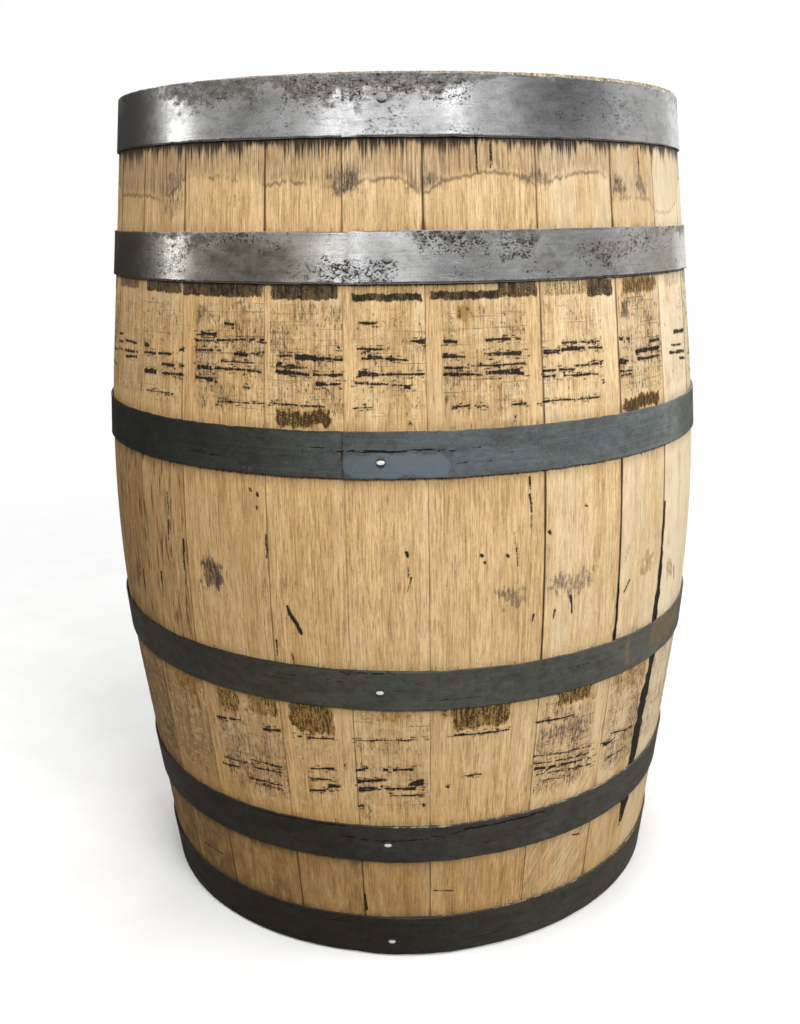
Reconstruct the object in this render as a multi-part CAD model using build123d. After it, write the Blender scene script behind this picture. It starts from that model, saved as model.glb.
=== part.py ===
from build123d import *
import math
import os

os.makedirs("parts", exist_ok=True)

# A full-size oak spirit barrel, standing on its lower head. Millimetres, +Z up,
# the origin in the middle of the foot. The side that faces -Y is the front.

# ------------------------------------------------------------------ dimensions
H = 876.0             # chime to chime (34.5 in)
R_BILGE = 337.2       # outside radius at mid height
RHO = 1575.0          # bend radius of a stave's outer face
Z_ARC = 180.0         # half length of the bent part; beyond it a stave is straight
T_STAVE = 27.0        # stave thickness
SEAM = 0.05           # gap between neighbouring staves at the bilge
CHIME_FLAT = 14.0     # flat width of a stave's end
CHIME_BEVEL = 16.0    # axial length of the bevel inside the chime

HEAD_Z = 43.0         # middle of the head's edge, from the stave ends
HEAD_T = 22.0         # head thickness
HEAD_RIM = 2.5        # half thickness of the head's thin edge
HEAD_TAPER = 0.386    # how fast the head thickens inwards from its edge
CROZE_DEPTH = 7.0     # depth of the groove that holds the head
HEAD_GAP = 0.06       # room between the head's edge and the groove's sides
HEAD_SIDE = 0.12      # room between the head's edge and the groove's bottom
BOARD_GAP = 0.06      # gap between head boards
BOARD_CUTS = (-184.0, -96.0, -2.0, 88.0, 180.0)   # joints across a head
TOP_TURN = 20.0       # direction of the boards in the upper head, degrees
BOTTOM_TURN = -35.0   # and in the lower head
DOWEL_R = 4.0
DOWEL_L = 40.0
DOWEL_FIT = 0.05      # room round a dowel, on the radius

T_HOOP = 1.7          # hoop strip thickness
HOOP_GAP = 0.06       # room between a hoop and the staves
LAP_GAP = 0.05        # room between the two layers of a lap
LAP_LEFT = 34.0       # lap length on either side of its rivet, along the hoop
LAP_RIGHT = 53.0
LAP_STEP = 5.0        # length of the step where the strip climbs on to itself
RIVET_R = 2.5
RIVET_FIT = 0.05
RIVET_HEAD_R = 4.7
RIVET_HEAD_H = 1.5

BUNG_R = 26.0         # bung hole radius at the outer face
BUNG_TAPER = 1.5 / 27.0
BUNG_FIT = 0.2        # room round the bung, on the radius
BUNG_PROUD = 2.4      # how far the bung stands out of the bilge
BUNG_L = 31.0

# Joints between staves, as angles round the barrel from the front (-Y) towards
# +X. The front ones are unequal, as staves are; the stave across the back is the
# widest and carries the bung.
JOINTS = [-66.35, -52.9, -39.8, -22.6, -9.4, 3.6, 22.9, 39.1, 52.6]
RIGHT_WIDTHS = [14.2, 16.6, 12.9, 15.4, 13.7, 17.1, 12.3, 15.55]
BUNG_STAVE_WIDTH = 19.3
LEFT_WIDTHS = [12.4, 14.8, 11.6, 13.9, 12.1, 15.3, 11.2, 12.7]

# Hoops from the top down: lower edge, upper edge at the axis, lean (degrees, plus
# when the +X side is higher), rivet angle and rivet height.
HOOPS = [
    ("top_head_hoop", 822.4, 874.0, -0.37, -2.7, 853.7),
    ("top_quarter_hoop", 701.4, 746.5, -0.10, -2.1, 722.9),
    ("top_bilge_hoop", 532.0, 575.2, 0.0, -3.6, 547.1),
    ("bottom_bilge_hoop", 303.4, 345.7, -0.78, -4.6, 323.7),
    ("bottom_quarter_hoop", 123.9, 168.1, 0.0, -4.2, 146.4),
    ("bottom_head_hoop", 2.5, 51.5, 0.0, -4.1, 20.7),
]

# ------------------------------------------------------------------ profile
HALF = H / 2
CHORD = math.sqrt(RHO ** 2 - Z_ARC ** 2)
SLOPE = Z_ARC / CHORD
R_ARC = R_BILGE - RHO + CHORD
R_END = R_ARC - (HALF - Z_ARC) * SLOPE
R_IN0 = R_END - T_STAVE * math.hypot(1.0, SLOPE)      # inner line at the stave end
CROZE_R = R_IN0 + SLOPE * HEAD_Z + CROZE_DEPTH
CROZE_W = HEAD_RIM + HEAD_GAP
HEAD_R = CROZE_R - HEAD_SIDE


def outer_radius(z):
    d = abs(z - HALF)
    if d <= Z_ARC:
        return R_BILGE - RHO + math.sqrt(RHO ** 2 - d * d)
    return R_ARC - (d - Z_ARC) * SLOPE


def outer_slope(z):
    d = z - HALF
    if abs(d) <= Z_ARC:
        return -d / math.sqrt(RHO ** 2 - d * d)
    return -math.copysign(SLOPE, d)


def spin(shape, angle):
    """Turn a shape that was made in the +X half plane to an angle from the front."""
    return Rot(0, 0, angle - 90.0) * shape


def around(angle, r, z):
    a = math.radians(angle)
    return (r * math.sin(a), -r * math.cos(a), z)


def stave_face():
    """A stave's section through the barrel's axis."""
    sin_a, cos_a = Z_ARC / RHO, CHORD / RHO
    rin = RHO - T_STAVE
    in_r = R_BILGE - RHO + rin * cos_a
    in_d = rin * sin_a

    def low(side):
        r = (R_IN0 + SLOPE * (HEAD_Z + side * (CROZE_W + HEAD_TAPER * CROZE_R)))
        r /= 1.0 + side * SLOPE * HEAD_TAPER
        return r, (r - R_IN0) / SLOPE

    half = [
        (R_END, 0.0),
        (R_END - CHIME_FLAT, 0.0),
        (R_IN0 + SLOPE * CHIME_BEVEL, CHIME_BEVEL),
        low(-1.0),
        (CROZE_R, HEAD_Z - CROZE_W),
        (CROZE_R, HEAD_Z + CROZE_W),
        low(1.0),
        (in_r, HALF - in_d),
    ]
    bottom = [(r, 0.0, z) for r, z in half]
    top = [(r, 0.0, H - z) for r, z in half]
    edges = [Line(a, b) for a, b in zip(bottom[:-1], bottom[1:])]
    edges.append(ThreePointArc(bottom[-1], (R_BILGE - T_STAVE, 0.0, HALF), top[-1]))
    edges += [Line(a, b) for a, b in zip(top[::-1][:-1], top[::-1][1:])]
    edges.append(Line(top[0], (R_ARC, 0.0, HALF + Z_ARC)))
    edges.append(ThreePointArc((R_ARC, 0.0, HALF + Z_ARC), (R_BILGE, 0.0, HALF),
                               (R_ARC, 0.0, HALF - Z_ARC)))
    edges.append(Line((R_ARC, 0.0, HALF - Z_ARC), bottom[0]))
    return Face(Wire([e.edge() for e in edges]))


STAVE = stave_face()


def stave(start, end):
    trim = math.degrees(SEAM / 2 / R_BILGE)
    body = revolve(STAVE, axis=Axis.Z, revolution_arc=end - start - 2 * trim)
    return spin(body, start + trim)


# ------------------------------------------------------------------ staves
joints = list(JOINTS)
for w in RIGHT_WIDTHS + [BUNG_STAVE_WIDTH] + LEFT_WIDTHS:
    joints.append(joints[-1] + w)
bung_index = len(JOINTS) - 1 + len(RIGHT_WIDTHS)

pieces = {}
number = 0
for i in range(len(joints) - 1):
    body = stave(joints[i], joints[i + 1])
    if i == bung_index:
        y0, y1 = R_BILGE - 45.0, R_BILGE + 15.0
        cone = Cone(BUNG_R - (R_BILGE - y0) * BUNG_TAPER,
                    BUNG_R + (y1 - R_BILGE) * BUNG_TAPER, y1 - y0)
        hole = Plane(origin=(0, (y0 + y1) / 2, HALF), z_dir=(0, 1, 0)) * cone
        pieces["bung_stave"] = body - hole
    else:
        number += 1
        pieces["stave_%02d" % number] = body

# ------------------------------------------------------------------ bung
y1 = R_BILGE + BUNG_PROUD
y0 = y1 - BUNG_L
bung = Cone(BUNG_R - BUNG_FIT - (R_BILGE - y0) * BUNG_TAPER,
            BUNG_R - BUNG_FIT + (y1 - R_BILGE) * BUNG_TAPER, BUNG_L)
bung = chamfer(bung.edges().filter_by(GeomType.CIRCLE), 1.2)
pieces["bung"] = Plane(origin=(0, (y0 + y1) / 2, HALF), z_dir=(0, 1, 0)) * bung

# ------------------------------------------------------------------ heads
flat_r = HEAD_R - (HEAD_T / 2 - HEAD_RIM) / HEAD_TAPER


def head(prefix, z_mid, turn):
    disc = revolve(Face(Wire.make_polygon([
        (0, 0, -HEAD_T / 2), (flat_r, 0, -HEAD_T / 2), (HEAD_R, 0, -HEAD_RIM),
        (HEAD_R, 0, HEAD_RIM), (flat_r, 0, HEAD_T / 2), (0, 0, HEAD_T / 2)])),
        axis=Axis.Z)
    dowels, holes = [], []
    for cut in BOARD_CUTS:
        along = 90.0 if abs(cut) > 150.0 else 130.0
        for side in (-along, along):
            at = Plane(origin=(cut, side, 0), z_dir=(1, 0, 0))
            dowels.append(at * chamfer(Cylinder(DOWEL_R, DOWEL_L).edges()
                                       .filter_by(GeomType.CIRCLE), 0.8))
            holes.append(at * Cylinder(DOWEL_R + DOWEL_FIT, DOWEL_L + 0.4))
    edges = (-HEAD_R - 5.0,) + BOARD_CUTS + (HEAD_R + 5.0,)
    place = Pos(0, 0, z_mid) * Rot(0, 0, turn)
    for n in range(len(edges) - 1):
        a, b = edges[n] + BOARD_GAP / 2, edges[n + 1] - BOARD_GAP / 2
        slab = Pos((a + b) / 2, 0, 0) * Box(b - a, 2 * HEAD_R + 20.0, HEAD_T + 10.0)
        board = disc & slab
        for cut, hole in zip([c for c in BOARD_CUTS for _ in (0, 1)], holes):
            if cut in (edges[n], edges[n + 1]):
                board = board - hole
        pieces["%s_head_board_%d" % (prefix, n + 1)] = place * board
    pieces[prefix + "_head_dowels"] = Compound(
        children=[(place * d).solid() for d in dowels])


head("top", H - HEAD_Z, TOP_TURN)
head("bottom", HEAD_Z, BOTTOM_TURN)

# ------------------------------------------------------------------ hoops
rivets = []
for name, z0, z1, lean, rivet_angle, rivet_z in HOOPS:
    zm = (z0 + z1) / 2
    rm, s = outer_radius(zm), outer_slope(zm)
    c = 1.0 / math.hypot(1.0, s)
    reach = (z1 - z0) / 2 + rm * math.tan(math.radians(abs(lean))) + 4.0

    def strip(n0, n1):
        def p(u, n):
            return (rm + c * (u * s + n), 0.0, zm + c * (u - n * s))
        return Face(Wire.make_polygon([p(-reach, n0), p(reach, n0),
                                       p(reach, n1), p(-reach, n1)]))

    per_mm = math.degrees(1.0 / rm)
    lap_a = rivet_angle - LAP_LEFT * per_mm
    lap_b = rivet_angle + LAP_RIGHT * per_mm
    step_a = lap_b + 1.5 * per_mm
    step_b = step_a + LAP_STEP * per_mm
    n_in, n_out = HOOP_GAP, HOOP_GAP + T_HOOP + LAP_GAP

    # the strip goes once round, steps up over its own end and covers it
    ring = spin(revolve(strip(n_in, n_in + T_HOOP), axis=Axis.Z,
                        revolution_arc=360.0 + lap_b - step_b), step_b)
    step = spin(revolve(strip(n_in, n_out + T_HOOP), axis=Axis.Z,
                        revolution_arc=step_b - step_a), step_a)
    lap = spin(revolve(strip(n_out, n_out + T_HOOP), axis=Axis.Z,
                       revolution_arc=step_a - lap_a), lap_a)
    hoop = ring + step + lap

    # the strip's edges lie in two parallel planes that lean with the hoop
    hoop = hoop & (Pos(0, 0, zm) * Rot(0, -lean, 0) * Box(800, 800, z1 - z0))

    # rivet through both layers, along the strip's normal
    rr = outer_radius(zm) + s * (rivet_z - zm)
    a = math.radians(rivet_angle)
    normal = Vector(c * math.sin(a), -c * math.cos(a), -c * s)
    foot = Vector(*around(rivet_angle, rr, rivet_z))
    hoop = hoop - Plane(origin=foot, z_dir=normal) * Cylinder(RIVET_R + RIVET_FIT, 30.0)
    pieces[name] = hoop

    n_end, n_seat = HOOP_GAP + 0.1, n_out + T_HOOP + 0.08
    cap = (RIVET_HEAD_R ** 2 + RIVET_HEAD_H ** 2) / (2 * RIVET_HEAD_H)
    mid = RIVET_HEAD_R * 0.55
    rivet = revolve(Face(Wire([
        Line((0, 0, n_end), (RIVET_R, 0, n_end)).edge(),
        Line((RIVET_R, 0, n_end), (RIVET_R, 0, n_seat)).edge(),
        Line((RIVET_R, 0, n_seat), (RIVET_HEAD_R, 0, n_seat)).edge(),
        ThreePointArc((RIVET_HEAD_R, 0, n_seat),
                      (mid, 0, n_seat + RIVET_HEAD_H - cap + math.sqrt(cap ** 2 - mid ** 2)),
                      (0, 0, n_seat + RIVET_HEAD_H)).edge(),
        Line((0, 0, n_seat + RIVET_HEAD_H), (0, 0, n_end)).edge()])), axis=Axis.Z)
    rivets.append((Plane(origin=foot, z_dir=normal) * rivet).solid())

pieces["hoop_rivets"] = Compound(children=rivets)

# ------------------------------------------------------------------ write
for name, shape in pieces.items():
    export_step(shape, "parts/%s.step" % name)

print("%d nodes" % len(pieces))
print("end radius %.2f, croze radius %.2f, head radius %.2f, flat to %.2f"
      % (R_END, CROZE_R, HEAD_R, flat_r))
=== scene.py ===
import math

import bpy
import numpy as np
from mathutils import Matrix, Vector


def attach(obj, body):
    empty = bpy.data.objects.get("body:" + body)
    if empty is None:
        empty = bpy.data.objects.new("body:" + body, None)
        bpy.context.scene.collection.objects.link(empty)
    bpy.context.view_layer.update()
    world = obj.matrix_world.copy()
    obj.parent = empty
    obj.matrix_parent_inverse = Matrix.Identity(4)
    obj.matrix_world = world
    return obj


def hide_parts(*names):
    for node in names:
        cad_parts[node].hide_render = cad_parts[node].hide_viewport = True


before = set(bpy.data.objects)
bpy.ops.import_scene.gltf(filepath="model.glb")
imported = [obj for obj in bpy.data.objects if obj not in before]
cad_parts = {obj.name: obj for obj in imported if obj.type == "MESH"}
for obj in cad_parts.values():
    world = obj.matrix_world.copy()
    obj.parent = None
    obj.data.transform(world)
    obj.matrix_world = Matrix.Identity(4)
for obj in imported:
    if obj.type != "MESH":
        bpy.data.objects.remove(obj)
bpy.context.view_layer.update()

# A used oak spirit barrel on a pale floor. Lengths in the code are millimetres and
# angles are degrees round the barrel from the front (-Y) towards +X, until the last
# step, where points become metres.

MM = 0.001
scene = bpy.context.scene
rng = np.random.default_rng(41)

# ------------------------------------------------------------------ dimensions
H = 876.0
HALF = H / 2
R_BILGE = 337.2
RHO = 1575.0
Z_ARC = 180.0
T_STAVE = 27.0
CHIME_FLAT = 14.0
CHIME_BEVEL = 16.0
HEAD_Z = 43.0
HEAD_T = 22.0
HEAD_RIM = 2.5
HEAD_TAPER = 0.386
CROZE_DEPTH = 7.0
BOARD_CUTS = (-184.0, -96.0, -2.0, 88.0, 180.0)
TOP_TURN = 20.0
BOTTOM_TURN = -35.0
T_HOOP = 1.7
HOOP_GAP = 0.06
LAP_GAP = 0.05
LAP_LEFT = 34.0
LAP_RIGHT = 53.0
RIVET_R = 2.5
RIVET_HEAD_R = 4.7
RIVET_HEAD_H = 1.5
BUNG_R = 26.0
BUNG_TAPER = 1.5 / 27.0
BUNG_PROUD = 2.4
BUNG_L = 31.0

CHORD = math.sqrt(RHO ** 2 - Z_ARC ** 2)
SLOPE = Z_ARC / CHORD
R_ARC = R_BILGE - RHO + CHORD
R_END = R_ARC - (HALF - Z_ARC) * SLOPE
R_IN0 = R_END - T_STAVE * math.hypot(1.0, SLOPE)
CROZE_R = R_IN0 + SLOPE * HEAD_Z + CROZE_DEPTH
CROZE_W = HEAD_RIM + 0.06
HEAD_R = CROZE_R - 0.12

JOINTS = [-66.35, -52.9, -39.8, -22.6, -9.4, 3.6, 22.9, 39.1, 52.6]
for w in (14.2, 16.6, 12.9, 15.4, 13.7, 17.1, 12.3, 15.55, 19.3,
          12.4, 14.8, 11.6, 13.9, 12.1, 15.3, 11.2, 12.7):
    JOINTS.append(JOINTS[-1] + w)
BUNG_INDEX = 16

# name, lower edge, upper edge, lean, rivet angle, rivet height
HOOPS = [
    ("top_head_hoop", 822.4, 874.0, -0.37, -2.7, 853.7),
    ("top_quarter_hoop", 701.4, 746.5, -0.10, -2.1, 722.9),
    ("top_bilge_hoop", 532.0, 575.2, 0.0, -3.6, 547.1),
    ("bottom_bilge_hoop", 303.4, 345.7, -0.78, -4.6, 323.7),
    ("bottom_quarter_hoop", 123.9, 168.1, 0.0, -4.2, 146.4),
    ("bottom_head_hoop", 2.5, 51.5, 0.0, -4.1, 20.7),
]


def outer_radius(z):
    d = np.abs(np.asarray(z, float) - HALF)
    arc = R_BILGE - RHO + np.sqrt(RHO ** 2 - np.minimum(d, Z_ARC) ** 2)
    return np.where(d <= Z_ARC, arc, R_ARC - (d - Z_ARC) * SLOPE)


def outer_slope(z):
    d = z - HALF
    if abs(d) <= Z_ARC:
        return -d / math.sqrt(RHO ** 2 - d * d)
    return -math.copysign(SLOPE, d)


def inner_radius(z):
    d = np.abs(np.asarray(z, float) - HALF)
    rin = RHO - T_STAVE
    reach = rin * Z_ARC / RHO
    arc = R_BILGE - RHO + np.sqrt(rin ** 2 - np.minimum(d, reach) ** 2)
    return np.where(d <= reach, arc, R_IN0 + SLOPE * (HALF - d))


def place(phi, r, z):
    a = np.radians(phi)
    return np.stack([r * np.sin(a), -r * np.cos(a), z + 0.0 * a], -1) * MM


# ------------------------------------------------------------------ noise and ramps
def lattice(ix, iy, seed):
    h = (ix.astype(np.int64) * 374761393 + iy.astype(np.int64) * 668265263
         + int(seed) * 144269504) & 0x7FFFFFFF
    h = ((h ^ (h >> 13)) * 1274126177) & 0x7FFFFFFF
    return ((h ^ (h >> 16)) & 0xFFFF) / 65535.0


def vnoise(x, y, seed=0):
    x, y = np.broadcast_arrays(np.asarray(x, float), np.asarray(y, float))
    ix, iy = np.floor(x), np.floor(y)
    fx, fy = x - ix, y - iy
    ux, uy = fx * fx * (3 - 2 * fx), fy * fy * (3 - 2 * fy)
    a, b = lattice(ix, iy, seed), lattice(ix + 1, iy, seed)
    c, d = lattice(ix, iy + 1, seed), lattice(ix + 1, iy + 1, seed)
    return (a + (b - a) * ux) * (1 - uy) + (c + (d - c) * ux) * uy


def fbm(x, y, seed=0, octaves=3):
    total, amp, norm = 0.0, 1.0, 0.0
    for k in range(octaves):
        total = total + amp * vnoise(x * 2 ** k, y * 2 ** k, seed + 17 * k)
        norm += amp
        amp *= 0.5
    return total / norm


def ramp(x, a, b):
    t = np.clip((np.asarray(x, float) - a) / (b - a), 0, 1)
    return t * t * (3 - 2 * t)


# ------------------------------------------------------------------ marks on the wood
# Rubbed-on black strokes: start angle and height, end angle and height, widths.
SCUFFS_UPPER = [
    (-61, 639.8, -55, 639.7, 1.8, 1.8), (-61.5, 629.4, -54.4, 631.2, 2.7, 2.7),
    (-60.7, 623.7, -54.8, 626.1, 1.8, 1.8), (-66.5, 644.5, -62.9, 645.3, 1.4, 1.4),
    (-66.4, 636.3, -62.9, 637.2, 1.4, 1.4), (-66.4, 629.1, -62.8, 629.1, 1.4, 1.4),
    (-51.6, 641.3, -49.7, 639.3, 4.5, 2.7), (-51.6, 632.6, -42.7, 634.7, 1.8, 1.4),
    (-41.5, 639.9, -39.5, 639.7, 2.7, 2.7), (-45.6, 624, -41.9, 624.3, 2.2, 2.2),
    (-40.6, 625.4, -39.4, 624.9, 1.8, 1.8), (-51.4, 615.2, -47.2, 615.1, 3.1, 2.7),
    (-45.6, 615.4, -39.3, 616.5, 1.8, 1.8), (-50.5, 596.1, -42, 597.3, 0.9, 0.9),
    (-35.2, 656.1, -32, 656.1, 3.1, 3.1), (-36.6, 654.7, -34.8, 655.2, 1.1, 1.1),
    (-30.4, 666.7, -28.4, 665.3, 1.6, 1.6), (-36.6, 649.3, -29.1, 651.7, 1.6, 1.3),
    (-28.7, 651.8, -22.7, 653.2, 1.1, 1.4), (-36.6, 641.2, -31.1, 642, 1.4, 1.4),
    (-28.4, 639.6, -25.7, 638.9, 2.5, 2.3), (-25.1, 641.2, -22.7, 640.9, 0.9, 0.9),
    (-31, 632.5, -23.8, 632.2, 1.6, 1.1), (-36.6, 625.6, -31.9, 625, 4.5, 2.7),
    (-32.3, 625.3, -23.1, 624.4, 2, 1.4), (-36.5, 615.9, -32.7, 614.7, 2.7, 2.2),
    (-32.1, 614, -31.9, 612.3, 1.4, 1.4), (-26.5, 610.5, -25.2, 609.6, 0.9, 0.9),
    (-31.6, 595.9, -22.4, 597, 1.3, 1.1), (-20.5, 639.9, -17.7, 639.9, 1.2, 1.2),
    (-17.2, 639.1, -12.4, 637.9, 3.4, 2.9), (-12.2, 638.3, -9.5, 637.2, 1.6, 1.6),
    (-10.3, 648.4, -9.4, 647.5, 1.4, 1.4), (-20.5, 631.6, -15, 630.2, 4, 1.4),
    (-20.5, 625.9, -14.9, 623.7, 2.7, 1.8), (-14.2, 624.2, -9.5, 624.2, 1.8, 1.6),
    (-14.2, 615.9, -9.5, 616, 3.8, 1.6), (-21.5, 597.7, -12.4, 595.9, 1.4, 1.1),
    (-6.9, 669.1, -4.2, 668.5, 1.4, 1.4), (-7.1, 646.7, -2.6, 646.2, 1.4, 1.3),
    (-6.7, 639.4, -2.6, 639.1, 3.8, 2.7), (-2.6, 638.5, 0.9, 636.5, 2.9, 0.9),
    (-7.3, 625.2, -3.6, 624.3, 4.5, 3.1), (-3.6, 624.6, 3.3, 624.5, 1.6, 1.4),
    (-7.5, 617.4, -2.4, 616, 1.4, 1.2), (-1.8, 615.5, 1.5, 613, 1.8, 3.6), (1.3, 653.2, 3.5, 652.6, 1.1, 2.7),
    (-7.5, 595.9, -3.9, 595.9, 0.9, 0.9), (0.9, 582, 1.1, 581.1, 1.8, 1.8), (6.4, 652.2, 8.5, 651.5, 2.3, 1.8),
    (13.2, 652.2, 19.1, 651.7, 2, 1.6), (6.3, 639.7, 9.9, 638.2, 2.7, 1.4),
    (12.7, 639.8, 20.1, 639.5, 1.8, 3.6), (6.3, 629.4, 11.2, 628.8, 2.2, 1.3),
    (11.8, 630, 19.7, 630.4, 1.1, 1.1), (6.3, 624.2, 10.2, 623, 2.3, 1.4), (12.5, 623.7, 19.7, 622.5, 2.7, 5.4),
    (7.2, 622.7, 12.5, 622, 1.3, 1.3), (7.7, 595, 12.9, 594.6, 1.6, 1.1), (17.3, 594.4, 19.8, 594.4, 1.4, 1.4),
    (17.7, 583.1, 18, 582.1, 2, 2), (23, 638.6, 26.5, 638.7, 3.8, 2.7), (26.5, 639.6, 35.2, 638.3, 2.5, 1.8),
    (26.6, 645.8, 34.6, 644.5, 1.1, 1.1), (22.9, 622.2, 29.2, 621.3, 1.8, 1.3),
    (29.2, 624.1, 34.3, 624, 1.3, 1.4), (34.6, 624.3, 34.9, 624.1, 2.2, 2.2),
    (22.8, 616.9, 34, 614.4, 1.7, 1.3), (35, 606.5, 35.3, 605.9, 1.8, 1.8),
    (22.7, 594.5, 34.1, 593.1, 1.3, 1.1), (39.4, 644.2, 42.1, 643, 1.8, 1.8),
    (48.1, 638.1, 51.8, 638.1, 2.7, 2.7), (43.6, 629.9, 51.6, 630.4, 2.7, 2.2),
    (39.1, 623.4, 42, 621.3, 4.5, 3.6), (44.1, 623.5, 51.4, 622.6, 2.3, 1.8),
    (39.3, 614.4, 42.5, 613.5, 1.4, 1.3), (39.5, 609.6, 42.2, 609.8, 1.3, 1.3),
    (58.8, 641.2, 66.4, 639.2, 2.7, 2.3), (56, 622.3, 65.6, 618.1, 2.3, 1.8),
    (57.2, 629, 63.2, 626.2, 1.4, 1.4), (61.6, 613.1, 65.9, 610.4, 1.8, 1.8),
]
SCUFFS_LOWER = [
    (-37.3, 265.7, -31.4, 270.3, 1.8, 1.4), (-26.5, 266.3, -23, 268.6, 2.3, 2.2),
    (-20.5, 265.4, -13, 267.8, 1.4, 1.3), (-9.8, 267.6, 2.5, 269.5, 0.8, 0.8),
    (-36.8, 217.8, -31.3, 219.8, 1.4, 1.1), (-37.9, 208.3, -33.2, 211.7, 1.1, 1.1),
    (-30.2, 225.1, -23.6, 224.4, 1.4, 1.1), (-30, 216.9, -23.9, 218, 1.4, 1.2),
    (-31.5, 202.2, -24, 202.1, 1.4, 1.2), (-28.5, 197.1, -24.1, 197.1, 0.9, 0.9),
    (-17.9, 229.1, -13.4, 232.6, 1.8, 1.8), (-18, 217.1, -13.3, 218.9, 1.8, 1.4),
    (-15, 210.6, -12.3, 212.3, 5.9, 2.2), (-18.4, 203.4, -13.8, 205.5, 2, 1.6),
    (-11.5, 237.2, -11.2, 236.2, 1.8, 1.8), (-9.5, 232, -7.3, 236.5, 2, 1.8),
    (-4.7, 234.8, 0.6, 234.7, 2.2, 1.8), (-9.4, 219.5, -4.1, 223, 3.8, 2.7), (-0.3, 215.9, 2.7, 220, 4.5, 7.2),
    (-9.4, 209.9, -4.5, 212.3, 5.4, 2.7), (-4.5, 212.3, 2.5, 212.9, 2.3, 2.7),
    (-3.5, 204, 2.5, 204.6, 1.1, 1.1), (-9.4, 189.9, -8.5, 190.3, 1.4, 1.4), (2.3, 191.4, 2.6, 191.2, 2, 2),
    (6.9, 271.9, 17.5, 271, 1.5, 1.4), (6.5, 212.4, 7, 211.8, 2, 2), (9.6, 223.6, 12.9, 222.9, 1.2, 1.2),
    (22.7, 272.5, 31, 269.7, 1.6, 1.4), (22.9, 232.4, 36.3, 223, 1.3, 1.1), (23, 223.8, 36.6, 215.2, 1.3, 1.1),
    (23.3, 217.4, 37.4, 207.6, 2.3, 1.4), (23.9, 209.4, 37.1, 199.5, 1.3, 1.1),
    (24.4, 201.3, 31.6, 195.4, 0.9, 0.9), (39.9, 217.2, 44.3, 216.5, 2.9, 2.3),
    (41.7, 227.1, 49.5, 219.6, 1.4, 1.3), (39.2, 219.8, 41.3, 219.2, 1.3, 1.3),
    (41.1, 198.3, 46.5, 196.4, 1.3, 1.1),
]
SPECKS = [
    (-44.3, 499.8, -44.4, 476.3, 2, 1.4), (-44.5, 471.1, -44.8, 450.1, 2.3, 1.3),
    (-40.5, 454.7, -40.9, 423.2, 2.7, 1.4), (-54.6, 480.4, -55.1, 463.8, 1.8, 1.3),
    (-55.7, 402.7, -56, 368.2, 2.7, 1.4), (-48.1, 411.7, -48.4, 384, 2.7, 1.4),
    (-22.9, 474.4, -22.9, 452, 2, 1.1), (-25.5, 517.1, -25.3, 515.3, 1.8, 1.8),
    (-24.2, 514, -24.1, 511.2, 2.7, 2.7), (-24.4, 500.6, -24.3, 498.7, 1.4, 1.4),
    (0.1, 463, 0.3, 459.2, 3.6, 2.7), (0.3, 448.7, 0.4, 439, 1, 1.6), (0.8, 439, 0.1, 425.3, 1, 0.8),
    (11.9, 457.1, 12.1, 456.1, 2.5, 2.5), (12.5, 450.1, 12.7, 449, 2.3, 2.3),
    (16.2, 454.8, 16.4, 453.6, 2.5, 2.5), (28.3, 403.8, 28.6, 385.7, 2.5, 2),
    (23.7, 472.3, 23.9, 470.2, 3.1, 3.1), (30.8, 492.1, 31.1, 490.9, 2, 2), (23.6, 459.7, 23.5, 445, 1.4, 1.1),
    (25.1, 392.8, 24.9, 384.6, 1.8, 1.4), (20.1, 527, 20.2, 515.8, 2.2, 1.4),
    (20.2, 510.1, 20.3, 494, 2.3, 1.8), (20.4, 490.1, 20.4, 476.6, 2, 1.3),
    (17.4, 476.7, 18.1, 443.2, 0.9, 1.6), (59.8, 390, 61, 373.9, 2.2, 1.8),
    (40.8, 391.8, 42.1, 402.9, 2.7, 2.2), (21.1, 391.6, 20.9, 384.4, 2.2, 1.6),
    (-19.8, 405.9, -17.5, 379.7, 2.6, 5.2), (-34.6, 432.0, -33.6, 424.0, 1.6, 1.2),
    (-49.9, 78.4, -43.3, 79.3, 1.6, 1.2), (-9.2, 77.7, -9.1, 57.8, 2.4, 2.4),
    (34.2, 115.3, 36.3, 111.8, 2.5, 2.3), (3.9, 83.7, 8.1, 81.2, 1.1, 1.1),
    (-29.3, 74.8, -29.1, 73.8, 1.8, 1.8), (12.5, 821, 12.6, 793, 2.5, 1.3), (15.1, 821, 15.0, 797, 2.1, 1.2),
    (47.7, 818, 47.5, 790, 1.7, 1.0), (-52.2, 531, -52.3, 526, 2.6, 2.0), (-43.2, 534, -43.3, 528, 2.6, 1.6),
    (44.6, 536, 44.4, 529, 2.2, 1.4), (-19.3, 357, -19.2, 343, 1.5, 1.0), (-22.0, 369, -22.1, 352, 1.8, 1.1),
]
# Thin brown scratches across the chafed zone.
FAINT = [
    (-44.0, 662.4, -32.0, 662.5, -0.6, -0.6), (-21.0, 667.0, -12.3, 666.0, -0.6, -0.6),
    (30.5, 668.0, 37.5, 667.5, -0.6, -0.6), (-50.8, 588.5, -40.4, 590.0, -0.5, -0.7),
    (7.0, 603.5, 19.5, 603.0, -0.8, -0.8), (-8.8, 588.0, 3.0, 588.4, -0.9, -0.9),
]
LEAKS = [
    (53.1, 470.5, 52.8, 430.3, 5.0, 7.5), (52.8, 430.3, 52.6, 390.9, 6.5, 8.5),
    (52.6, 390.9, 52.1, 340.5, 10.0, 12.0), (53.7, 303.3, 52.3, 236.8, 14.0, 17.0),
    (52.3, 236.8, 52.1, 175.5, 17.0, 18.0), (52.1, 175.5, 50.8, 157.7, 15.0, 9.0), (52.6, 124, 51.5, 92.4, 15.0, 4.5),
    (50.8, 124, 50.9, 86.9, 9.0, 2.6), (39.2, 402.7, 39.1, 342.4, 2.4, 4.4),
]
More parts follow.
